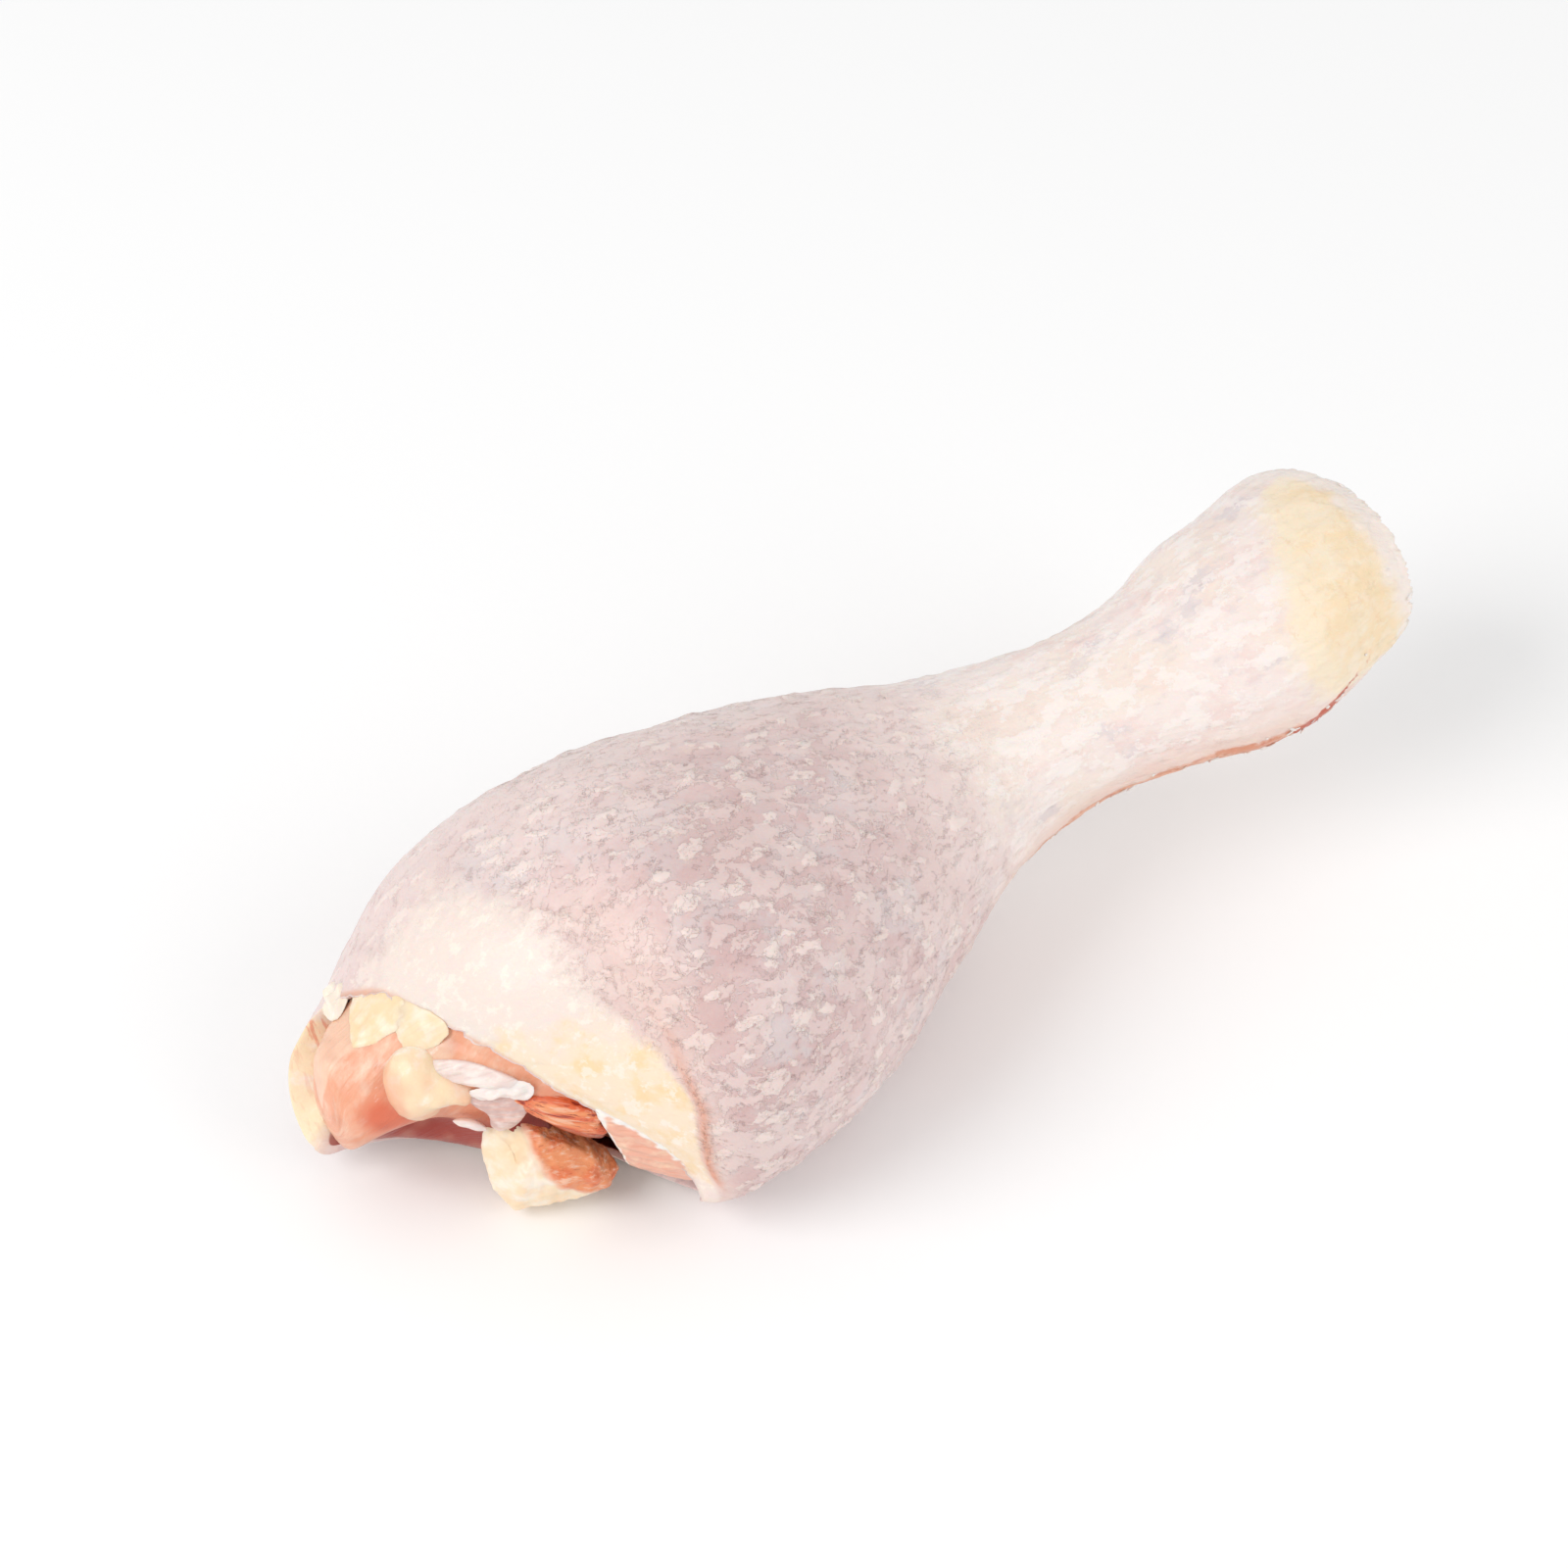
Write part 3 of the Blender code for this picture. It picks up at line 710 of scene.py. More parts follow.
def flesh_material():
    """Raw dark poultry meat: soft orange pink, redder in places, and painted darker as shade under
    the cut and in its hollows.
    """
    made, tree, shader = new_material("raw_flesh")
    place = node(tree, STORED, attribute_name="skin_mm").outputs["Vector"]
    grain = node(tree, NOISE, {
        "Vector": stretched(tree, place, 0.55, (9.0, 1.0, 1.0)),
        "Scale": 1.0, "Detail": 3.0, "Roughness": 0.6,
    })
    cloud = node(tree, NOISE, {"Vector": place, "Scale": 1 / 3.2, "Detail": 4.0, "Roughness": 0.6})
    pale = ragged(tree, "pale", place, 2.4, 0.7)
    film = node(tree, NOISE, {
        "Vector": stretched(tree, place, 2.2, (1.8, 1.0, 1.0)),
        "Scale": 1.0, "Detail": 4.0, "Roughness": 0.7,
    })
    colour = paint(tree, "flesh", [
        ("flesh_pale", (cloud, 0.42, 0.75)),
        ("flesh_pale", pale, 0.85),
        ("flesh_red", "red", 0.9),
        # Painted shade: dark red under the cut and near black in the pocket.
        ("flesh_dark", "dark"),
        ("hollow", "hollow"),
        ("fat_white", (film, 0.57, 0.66), "film"),
    ])
    swell = node(tree, MATH, cloud, 0.8, operation="MULTIPLY")
    height = node(tree, MATH, grain, 0.6, swell, operation="MULTIPLY_ADD")
    wet_tissue(tree, shader, colour, 0.36, height, 0.00025, 0.0018, 0.35)
    return made


def muscle_material():
    """Cut muscle: bundles of red fibres with dark lines between them."""
    made, tree, shader = new_material("cut_muscle")
    place = node(tree, STORED, attribute_name="grain_mm").outputs["Vector"]
    fibre = node(tree, NOISE, {
        "Vector": stretched(tree, place, 0.42, (12.0, 1.0, 1.0)),
        "Scale": 1.0, "Detail": 3.0, "Roughness": 0.6,
    })
    bundle = node(tree, NOISE, {
        "Vector": stretched(tree, place, 1.3, (7.0, 1.0, 1.0)),
        "Scale": 1.0, "Detail": 2.0, "Roughness": 0.5,
    })
    colour = paint(tree, "muscle", [
        ("muscle_orange", (bundle, 0.42, 0.62)),
        ("flesh_pale", (fibre, 0.54, 0.66), 0.6),
        ("muscle_dark", (fibre, 0.46, 0.36), 0.85),
        # Painted shade on the lower side of the bundles.
        ("muscle_dark", "dark"),
        ("flap", "pale"),
    ])
    wet_tissue(tree, shader, colour, 0.34, fibre, 0.00035, 0.0014, 0.35)
    return made


def cartilage_material():
    """Cartilage of a young bird: waxy cream yellow, pinker where blood shows through, and at the
    knee end of the knob pinker as painted shade.
    """
    made, tree, shader = new_material("young_cartilage")
    place = node(tree, "ShaderNodeTexCoord").outputs["Object"]
    cloud = node(tree, NOISE, {
        "Vector": place,
        "Scale": 1 / (2.8 * MM), "Detail": 4.0, "Roughness": 0.6,
    })
    fine = node(tree, NOISE, {
        "Vector": place,
        "Scale": 1 / (0.7 * MM), "Detail": 3.0, "Roughness": 0.6,
    })
    colour = paint(tree, "cartilage", [
        ("cartilage_white", (cloud, 0.46, 0.68)),
        ("cartilage_pink", "pink"),
        ("blue_white", "blue"),
    ])
    wet_tissue(tree, shader, colour, 0.38, fine, 0.00012, 0.0016, 0.3)
    return made


def knuckle_material():
    """Gristly lump: cream and waxy at one end, torn red muscle at the other."""
    made, tree, shader = new_material("gristle_and_muscle")
    place = node(tree, STORED, attribute_name="grain_mm").outputs["Vector"]
    fibre = node(tree, NOISE, {
        "Vector": stretched(tree, place, 0.40, (11.0, 1.0, 1.0)),
        "Scale": 1.0, "Detail": 3.0, "Roughness": 0.6,
    })
    cloud = node(tree, NOISE, {"Vector": place, "Scale": 1 / 2.6, "Detail": 3.0, "Roughness": 0.6})
    gristle = paint(tree, "cartilage_white", [
        ("cartilage", (cloud, 0.68, 0.34)),
        ("hock_yellow", "yellow"),
    ])
    meat = paint(tree, "muscle_orange", [
        ("muscle", (cloud, 0.40, 0.62), 0.6),
        ("flesh_pale", (fibre, 0.5, 0.68), 0.8),
        ("muscle_dark", (fibre, 0.42, 0.30), 0.35),
        ("flesh", "pale"),
    ])
    share = ragged(tree, "meaty", place, 1.0, 0.35, 0.20, 0.95)
    colour = paint(tree, gristle, [
        ("flesh_pale", ("meaty", 0.10, 0.45)),
        (meat, share),
        ("muscle_dark", "dark"),
    ])
    height = node(tree, MATH, fibre, share, operation="MULTIPLY")
    wet_tissue(tree, shader, colour, 0.36, height, 0.0002, 0.0016, 0.35)
    return made


def tissue_material(name, base, light, deep, rough, streaks):
    """Thin pale tissue, such as sinew, fat or film, with a slightly cloudy colour."""
    made, tree, shader = new_material(name)
    place = node(tree, STORED, attribute_name="grain_mm").outputs["Vector"]
    streak = node(tree, NOISE, {
        "Vector": stretched(tree, place, 0.7, (6.0, 1.0, 1.0)),
        "Scale": 1.0, "Detail": 3.0, "Roughness": 0.6,
    })
    cloud = node(tree, NOISE, {"Vector": place, "Scale": 1 / 2.0, "Detail": 3.0, "Roughness": 0.6})
    colour = paint(tree, shade(base), [
        (shade(light), (cloud, 0.42, 0.66)),
        (shade(deep), (streak, 0.52, 0.32), streaks),
        (shade(deep), ("rim", 0.93, 1.0), 0.18),
        ("tissue_white", "white", 0.85),
    ])
    wet_tissue(tree, shader, colour, rough, cloud, 0.00015, 0.0009, 0.3)
    return made


def flap_material():
    """Thin slice of pink meat with a whitish membrane along its edge."""
    made, tree, shader = new_material("cut_flap")
    place = node(tree, STORED, attribute_name="grain_mm").outputs["Vector"]
    cloud = node(tree, NOISE, {"Vector": place, "Scale": 1 / 1.8, "Detail": 3.0, "Roughness": 0.6})
    streak = node(tree, NOISE, {
        "Vector": stretched(tree, place, 0.5, (5.0, 1.0, 1.0)),
        "Scale": 1.0, "Detail": 3.0, "Roughness": 0.6,
    })
    colour = paint(tree, "flap", [
        ("flesh_pale", (cloud, 0.46, 0.7)),
        ("flesh_red", (streak, 0.48, 0.34), 0.22),
        ("tissue_white", "pale"),
    ])
    wet_tissue(tree, shader, colour, 0.36, streak, 0.0002, 0.0014, 0.3)
    return made


# -------------------------------------------------------------------- surface trees

def new_tree(name, inputs):
    """Geometry tree with a geometry socket each way and the named inputs."""
    tree = bpy.data.node_groups.new(name, "GeometryNodeTree")
    tree.interface.new_socket("Geometry", in_out="INPUT", socket_type="NodeSocketGeometry")
    for label, kind, default in inputs:
        socket = tree.interface.new_socket(label, in_out="INPUT", socket_type=kind)
        if default is not None:
            socket.default_value = default
    tree.interface.new_socket("Geometry", in_out="OUTPUT", socket_type="NodeSocketGeometry")
    return tree, node(tree, "NodeGroupInput"), node(tree, "NodeGroupOutput")


def run_tree(obj, tree, values):
    """Run a tree on an object with its inputs set, and keep the plain mesh."""
    modifier = obj.modifiers.new(tree.name, "NODES")
    modifier.node_group = tree
    for item in tree.interface.items_tree:
        if item.item_type == "SOCKET" and item.in_out == "INPUT" and item.name in values:
            modifier[item.identifier] = values[item.name]
    settle(obj)


def end_tree(tree, ends, geometry, material):
    """Realize what is in instances, set the material and leave the tree."""
    real = node(tree, "GeometryNodeRealizeInstances", geometry)
    dressed = node(tree, "GeometryNodeSetMaterial", {"Geometry": real, "Material": material})
    tree.links.new(dressed.outputs[0], ends.inputs[0])


def push_out(tree, geometry, height):
    """Move each point along its normal by a height in millimetres."""
    normal = node(tree, "GeometryNodeInputNormal")
    metres = node(tree, MATH, height, MM, operation="MULTIPLY")
    offset = node(tree, VECTOR_MATH, {0: normal, "Scale": metres}, operation="SCALE")
    return node(
        tree, "GeometryNodeSetPosition", {"Geometry": geometry, "Offset": offset}
    ).outputs[0]


def skin_relief_tree(spacing):
    """Raised spots, furrows and long wrinkles of plucked skin."""
    tree, start, ends = new_tree("plucked_skin_relief", [
        ("Spot Height", "NodeSocketFloat", 0.22), ("Furrow Depth", "NodeSocketFloat", 0.25),
        ("Wrinkle Height", "NodeSocketFloat", 0.3), ("Fold Height", "NodeSocketFloat", 0.4),
        ("Shreds", "NodeSocketFloat", 3e5),
        ("Material", "NodeSocketMaterial", None),
    ])
    place = node(tree, NAMED, "body_mm", data_type="FLOAT_VECTOR")
    patch, fleck, furrow = mottling(
        tree, spacing, place, node(tree, NAMED, "skin_mm", data_type="FLOAT_VECTOR"),
        node(tree, NAMED, "off_seam"),
    )
    raised = node(tree, MATH, patch, 0.5, fleck, operation="MULTIPLY_ADD")
    spots = node(tree, MATH, raised, start.outputs["Spot Height"], operation="MULTIPLY")
    furrows = node(tree, MATH, furrow, start.outputs["Furrow Depth"], operation="MULTIPLY")
    lumps = node(tree, NOISE, {
        "Vector": stretched(tree, place, 6.0, (1.4, 1.0, 1.0)),
        "Scale": 1.0, "Detail": 2.0, "Roughness": 0.5,
    })
    plucked = node(tree, MATH, spots, furrows, operation="SUBTRACT")
    swell = node(tree, MATH, lumps, 1.2, -0.6, operation="MULTIPLY_ADD")
    plucked = node(tree, MATH, plucked, swell, operation="ADD")
    plucked = node(tree, MATH, plucked, node(tree, NAMED, "bumpy"), operation="MULTIPLY")
    crease = node(tree, NOISE, {
        "Vector": stretched(tree, place, 3.0, (4.5, 1.0, 1.0)),
        "Scale": 1.0, "Detail": 3.0, "Roughness": 0.55,
    })
    wrinkles = node(tree, MATH, crease, 2.0, -1.0, operation="MULTIPLY_ADD")
    blot = node(tree, VECTOR_MATH, place, swayed(tree, place, 1.0, 2.4), operation="ADD")
    flaky = node(tree, NOISE, {
        "Vector": stretched(tree, blot, 2.6, (2.0, 0.9, 0.9)),
        "Scale": 1.0, "Detail": 3.0, "Roughness": 0.6,
    })
    raised = node(tree, RAMP, flaky, 0.52, 0.56, **SMOOTH)
    sunk = node(tree, RAMP, flaky, 0.37, 0.33, **SMOOTH)
    flakes = node(tree, MATH, raised, sunk, operation="SUBTRACT")
    wrinkles = node(tree, MATH, flakes, 0.3, wrinkles, operation="MULTIPLY_ADD")
    wrinkles = node(tree, MATH, wrinkles, start.outputs["Wrinkle Height"], operation="MULTIPLY")
    wrinkles = node(tree, MATH, wrinkles, node(tree, NAMED, "wrinkled"), operation="MULTIPLY")
    height = node(tree, MATH, plucked, wrinkles, operation="ADD")
    fold = node(tree, NAMED, "fold")
    height = node(tree, MATH, fold, start.outputs["Fold Height"], height, operation="MULTIPLY_ADD")
    moved = push_out(tree, start.outputs["Geometry"], height)
    both = node(tree, "GeometryNodeJoinGeometry")
    tree.links.new(moved, both.inputs[0])
    tree.links.new(shreds(tree, moved, start.outputs["Shreds"]), both.inputs[0])
    end_tree(tree, ends, both.outputs[0], start.outputs["Material"])
    return tree


def shreds(tree, surface, density):
    """Small torn scraps of skin scattered where the skin is ragged."""
    spread = node(tree, "GeometryNodeDistributePointsOnFaces", {
        "Mesh": surface, "Seed": 7,
        "Density": node(tree, MATH, node(tree, NAMED, "ragged"), density, operation="MULTIPLY"),
    })
    scrap = node(tree, "GeometryNodeMeshIcoSphere", {"Radius": MM, "Subdivisions": 2})
    bumps = node(tree, NOISE, {
        "Vector": node(tree, "GeometryNodeInputPosition"),
        "Scale": 1 / (0.9 * MM), "Detail": 2.0, "Roughness": 0.5,
    })
    scrap = push_out(tree, scrap, node(tree, MATH, bumps, 1.6, -0.8, operation="MULTIPLY_ADD"))
    size = node(
        tree, "FunctionNodeRandomValue", {0: (0.35, 0.18, 0.10), 1: (0.95, 0.36, 0.20), "Seed": 3},
        data_type="FLOAT_VECTOR",
    )
    placed = node(tree, "GeometryNodeInstanceOnPoints", {
        "Points": spread.outputs["Points"], "Instance": scrap,
        "Rotation": spread.outputs["Rotation"], "Scale": size,
    })
    turn = node(
        tree, "FunctionNodeRandomValue", {0: (-0.35, -0.35, -3.1), 1: (0.35, 0.35, 3.1), "Seed": 5},
        data_type="FLOAT_VECTOR",
    )
    turned = node(tree, "GeometryNodeRotateInstances", {"Instances": placed, "Rotation": turn})
    real = node(tree, "GeometryNodeRealizeInstances", turned)
    return node(
        tree, "GeometryNodeStoreNamedAttribute", {"Geometry": real, "Name": "scrap", "Value": 1.0},
        data_type="FLOAT", domain="POINT",
    ).outputs[0]


def fibre_tree():
    """Long fibres raised along the grain stored on a piece of flesh."""
    tree, start, ends = new_tree("muscle_fibres", [
        ("Fibre Width", "NodeSocketFloat", 0.6), ("Fibre Height", "NodeSocketFloat", 0.2),
        ("Material", "NodeSocketMaterial", None),
    ])
    place = node(tree, NAMED, "grain_mm", data_type="FLOAT_VECTOR")
    closeness = node(tree, MATH, 1.0, start.outputs["Fibre Width"], operation="DIVIDE")
    scaled = node(tree, VECTOR_MATH, {0: place, "Scale": closeness}, operation="SCALE")
    fibre = node(tree, NOISE, {
        "Vector": stretched(tree, scaled, 1.0, (10.0, 1.0, 1.0)),
        "Scale": 1.0, "Detail": 2.0, "Roughness": 0.5,
    })
    height = node(tree, MATH, fibre, 2.0, -1.0, operation="MULTIPLY_ADD")
    height = node(tree, MATH, height, start.outputs["Fibre Height"], operation="MULTIPLY")
    height = node(tree, MATH, height, node(tree, NAMED, "fibrous"), operation="MULTIPLY")
    moved = push_out(tree, start.outputs["Geometry"], height)
    end_tree(tree, ends, moved, start.outputs["Material"])
    return tree


# ---------------------------------------------------------------------- skin body

SKIN_COLUMNS = 308
SKIN_ROWS = 244
KNEE_RIM_ROWS = 14
HOCK_RIM_ROWS = 8
INNER_ROWS = 26


def skin_angles(count):
    """Angles round the leg, closer together on the side that is not underneath."""
    turn = np.arange(count) * 360.0 / count
    return turn + 12.0 * np.sin(np.radians(turn - 129.0 + 180.0))


def ragged_edge(angle, seed, reach):
    """Small tears along a cut edge, as a shift along the leg."""
    ring = np.stack([np.cos(np.radians(angle)), np.sin(np.radians(angle))], -1)
    return reach * (0.7 * waves(ring * 22, 2.4, seed) + 0.5 * waves(ring * 22, 0.8, seed + 1))


def skin_grid():
    """Closed sleeve: outer side, hock rim, inner side and knee rim, ring by ring."""
    angle = skin_angles(SKIN_COLUMNS)[None, :]
    wrapped = angle % 360
    knee = skin_edge(wrapped) + ragged_edge(wrapped, 11, 0.28) * (1 - lip_share(-73.0, wrapped))
    hock = SKIN_HOCK_EDGE + ragged_edge(wrapped, 21, 0.5)
    share = np.linspace(0, 1, SKIN_ROWS)[:, None]
    share = share - 0.06 * np.sin(2 * pi * share)  # rings closer together near the ends
    outer_x = knee + (hock - knee) * share
    outer = outside(outer_x, wrapped)
    # The loose corner beside the cut is rolled outwards, and the cut edge curls in.
    roll = 1.2 * hill(outer_x, wrapped, -38.0, 214, 3.6, 15)
    roll = roll + 1.1 * hill(outer_x, wrapped, -39.6, 213, 1.9, 7)
    curl = -0.8 * np.exp(-((outer_x - knee) / 2.2) ** 2) * hill(0, wrapped, 0, 150, 1, 70)
    out = directions(outer_x, wrapped)[0]
    outer = outer + out * (roll + curl)[..., None]
    inner_share = np.linspace(1, 0, INNER_ROWS)[:, None]
    lip = lip_share(knee, wrapped)
    inner_knee = knee + 1.3 * lip
    inner_x = inner_knee + (hock - inner_knee) * inner_share
    inner_thick = skin_thick(inner_x, wrapped)
    inner = outside(inner_x, wrapped) - directions(inner_x, wrapped)[0] * inner_thick[..., None]
    inner[..., 2] = np.maximum(inner[..., 2], 0.8)

    def rim(first, last, rows, bulge, along):
        """Rounded edge between the outer and the inner side."""
        t = np.linspace(0, 1, rows + 2)[1:-1, None, None]
        across = (1 - np.cos(pi * t)) / 2
        puff = np.sin(pi * t) ** 0.5 * bulge
        return first + (last - first) * across + along * puff

    hock_rim = rim(
        outer[-1], inner[0], HOCK_RIM_ROWS, np.full((1, SKIN_COLUMNS, 1), 0.4), np.array([1, 0, 0])
    )
    knee_bulge = (0.35 + 0.35 * lip)[..., None]
    knee_rim = rim(inner[-1], outer[0], KNEE_RIM_ROWS, knee_bulge, np.array([-1, 0, 0]))
    rows = np.concatenate([outer, hock_rim, inner, knee_rim])
    side = np.concatenate([
        np.zeros(SKIN_ROWS), np.full(HOCK_RIM_ROWS, 1), np.full(INNER_ROWS, 2),
        np.full(KNEE_RIM_ROWS, 3),
    ])
    return rows, side, wrapped


def skin_masks(rows, side, angle):
    """Where each look of the skin lies, as one number from 0 to 1 per point."""
    x = rows[..., 0]
    angle = np.broadcast_to(angle, x.shape)
    is_outer = np.broadcast_to((side == 0)[:, None], x.shape).astype(float)
    is_rim = np.broadcast_to((side == 3)[:, None], x.shape).astype(float)
    inner = np.broadcast_to((side == 2)[:, None], x.shape).astype(float)
    # Smooth, creamy skin on the knee side of the fold, and the pink line of the fold.
    wander = 0.45 * waves(np.stack([x * 0 + 1, angle / 9.0], -1), 1.5, 5)
    past_fold = curve_through(FOLD_LINE, 1, angle) + wander - x
    blur = 0.9 + 5.5 * smoothstep(angle, 165, 118)
    sector = smoothstep(angle, 44, 104) * smoothstep(angle, 262, 246)
    smooth = smoothstep(past_fold, 0.1 * blur, 1.4 * blur) * sector
    fold_strength = smoothstep(angle, 124, 178) * smoothstep(angle, 207, 198)
    fold = 0.95 * np.exp(-((past_fold - 0.1) / 0.34) ** 2) * fold_strength
    fold_pink = np.exp(-((past_fold - 0.4) / (1.4 + 0.6 * blur)) ** 2) * smoothstep(angle, 84, 112)
    # The shank: painted warm light in pink and peach underneath, a yellow patch and a white rim at
    # the hock.
    under_shank_glow = hill(0, angle, 0, 208, 1, 16) * smoothstep(x, 0, 22) * smoothstep(x, 66, 56)
    fold_pink = np.maximum(fold_pink * smoothstep(angle, 262, 240), under_shank_glow)
    yellow_from = curve_through(YELLOW_LINE, 1, angle)
    yellow = smoothstep(x, yellow_from - 3.0, yellow_from + 15.0)
    past_rim = x + 0.7 * waves(rows, 1.2, 71) - curve_through(HOCK_RIM_LINE, 1, angle)
    peach = hill(0, angle, 0, 207, 1, 21) * smoothstep(x, -2, 20) * smoothstep(x, 70, 60)
    shank = smoothstep(x, -8, 27)
    seam = smoothstep(np.abs(turn_from(angle, 270)), 1.5, 9)
    knee = skin_edge(angle)
    shown = smoothstep(angle, 40, 70) * smoothstep(angle, 208, 190)
    near_edge = smoothstep(x - knee, 1.0, 0.3) * shown * is_outer
    # A reddish band along the shank's lower edge, painted contact shade over skin that is ragged
    # there, and the tear below the hock.
    sway = 2.5 * waves(x[..., None] / 7.0 + np.array([0.0, 3.0]), 1.0, 75)
    reach = 1.0 + 10.0 * smoothstep(x, -16, 34)
    lower = np.exp(-((angle - 212 + sway) / reach) ** 2) * smoothstep(x, -18, -4)
    lower = lower * smoothstep(x, 62, 54) * (1.2 + 0.25 * waves(rows, 2.4, 76))
    past_tear = x - curve_through(TORN_LINE, 1, angle) + 0.5 * waves(rows, 1.0, 73)
    torn = np.exp(-(past_tear / 1.6) ** 2) * hill(0, angle, 0, 200, 1, 14)
    torn = np.clip(1.5 * torn + hill(x, angle, 56.5, 208, 5.0, 8), 0, 1)
    # Raised spots everywhere else, calmer and paler on the far side.
    bumpy = is_outer * (1 - smooth) * (1 - 0.9 * shank) * seam
    bumpy = bumpy * smoothstep(x - knee, 0.5, 5.0)
    far_side = smoothstep(np.abs(turn_from(angle, 10)), 80, 40)
    calmer = 1 - 0.6 * far_side * smoothstep(x, -30, -50)
    lip = np.clip(is_rim + inner, 0, 1)
    far = lip_share(np.broadcast_to(knee, x.shape), angle)
    raw_rim = 0.30 * is_rim * (1 - far) * smoothstep(angle, 205, 175)
    lighter = np.maximum(
        smoothstep(x, -14, 6) * smoothstep(np.abs(turn_from(angle, 70)), 130, 70), 0.9 * far_side
    )
    lighter = np.maximum(lighter, 0.95 * hill(x, angle, -36, 62, 16, 30))
    return {
        "smooth": smooth * is_outer,
        "cream": smoothstep(angle, 112, 172) * smoothstep(angle, 209, 199),
        "fold": fold * is_outer, "fold_pink": fold_pink * is_outer,
        "yellow": yellow, "peach": peach * is_outer, "shank": shank, "lighter": lighter,
        "mauve": np.clip(
            hill(x, angle, -26, 102, 10, 18) + 0.9 * hill(x, angle, -38.0, 134, 3.5, 15)
            + 0.6 * hill(x, angle, -37.0, 178, 4.0, 30), 0, 1,
        ),
        "bumpy": bumpy * calmer, "wrinkled": is_outer * (0.2 + 0.8 * shank) * seam,
        "raw": np.clip(0.85 * lower + raw_rim, 0, 1), "torn": 0.8 * torn,
        "edge_line": np.clip(0.75 * near_edge, 0, 1),
        "hock_rim": 0.9 * smoothstep(past_rim, -1.3, 1.6),
        # The inner side of the skin away from the lip is painted dark red as shade where it shows
        # in the pocket.
        "lip": lip * far, "inside": inner * (1 - far),
        "lip_pink": far * (0.25 + 0.75 * smoothstep(angle, 20, 40) * smoothstep(angle, 100, 80)),
        "off_seam": seam, "ragged": is_outer * np.clip(
            hill(0, angle, 0, 216, 1, 6) * smoothstep(x, 2, 22) * smoothstep(x, 71, 66)
            + 1.6 * torn + 0.4 * smoothstep(x, 69.5, 71), 0, 1,
        ),
    }


# ----------------------------------------------------------------------- flesh body

FLESH_COLUMNS = 300
NOSE_DEEP = 1.6  # how far the rounded nose reaches past the first ring


def flesh_rings():
    """Rings of the flesh, with a rounded nose at the knee and a flat end at the hock.

    Gives the rings, the place along and the angle of each point, and how much
    smaller each ring is drawn than the leg there.
    """
    angle = skin_angles(FLESH_COLUMNS) % 360
    along = np.concatenate([
        np.linspace(-71.3, -38.0, 100), np.linspace(-37.2, 66.0, 60), np.linspace(66.4, 68.0, 5),
    ])
    x = along[:, None] + np.zeros((1, FLESH_COLUMNS))
    body = flesh(x, angle[None, :])
    for row in np.nonzero(along < NOSE_FROM)[0]:
        body[row] = rounded_ring(body[row], smoothstep(along[row], NOSE_FROM, -71.0))
    nose = []
    bends = np.radians(np.linspace(4, 84, NOSE_RINGS))
    middle = body[0].mean(axis=0)
    for bend in bends:
        ring = rounded_ring(body[0], smoothstep(cos(bend), 0.1, 0.7), 2)
        ring = middle + (ring - middle) * sin(bend)
        ring[:, 0] = body[0, :, 0] - NOSE_DEEP * cos(bend)
        nose.append(ring)
    middle = body[-1].mean(axis=0)
    cap = [middle + (body[-1] - middle) * scale for scale in (0.9, 0.6, 0.3)]
    rings = np.concatenate([np.array(nose), body, np.array(cap)])
    shrunk = np.ones((len(rings), 1))
    shrunk[:NOSE_RINGS, 0] = np.sin(bends)
    rings_x = np.concatenate([
        along[0] - 8.0 * (1 - shrunk[:NOSE_RINGS]) + np.zeros(FLESH_COLUMNS), x,
        np.full((len(cap), FLESH_COLUMNS), along[-1]),
    ])
    return rings, rings_x, np.broadcast_to(angle[None], rings_x.shape), shrunk


def flesh_masks(rings, x, angle):
    """Where each look of the flesh lies, as one number from 0 to 1 per point."""
    bare = smoothstep(skin_edge(angle) - x, -0.5, 0.8)
    low_line = curve_through(LOW_LINE, 1, np.clip(x, -72, -46))
    below = smoothstep(angle - low_line, -3, 7) * smoothstep(x, -71, -66) * smoothstep(x, -48, -53)
    rough = 0.10 * waves(rings, 1.6, 31) * bare
    masks = {
        "pale": np.maximum(
            smoothstep(angle, 118, 92) * smoothstep(angle, 50, 70),
            hill(x, angle, -61.0, 128, 2.6, 16),
        ),
        "red": (
            1.1 * hill(x, angle, -68.6, 160, 2.4, 16) + 0.9 * hill(x, angle, -66.0, 178, 3.2, 14)
            + 0.7 * hill(x, angle, -55.0, 183, 5.0, 16)
        ),
        # Painted shade: dark red below the low line and in the recess above the knuckle, with a
        # little random darker tone; near black in the pocket under the loose skin.
        "dark": below + 1.1 * hill(x, angle, -52.6, 188, 3.6, 4.5) + rough,
        "hollow": 1.7 * hill(x, angle, -46.8, 205, 4.4, 19),
        "film": hill(x, angle, -61.0, 128, 2.4, 14) + 0.5 * hill(x, angle, -67, 140, 4, 20),
        "fibrous": bare,
    }
    return {name: np.clip(values, 0, 1) for name, values in masks.items()}


# --------------------------------------------------------------- pieces on the cut

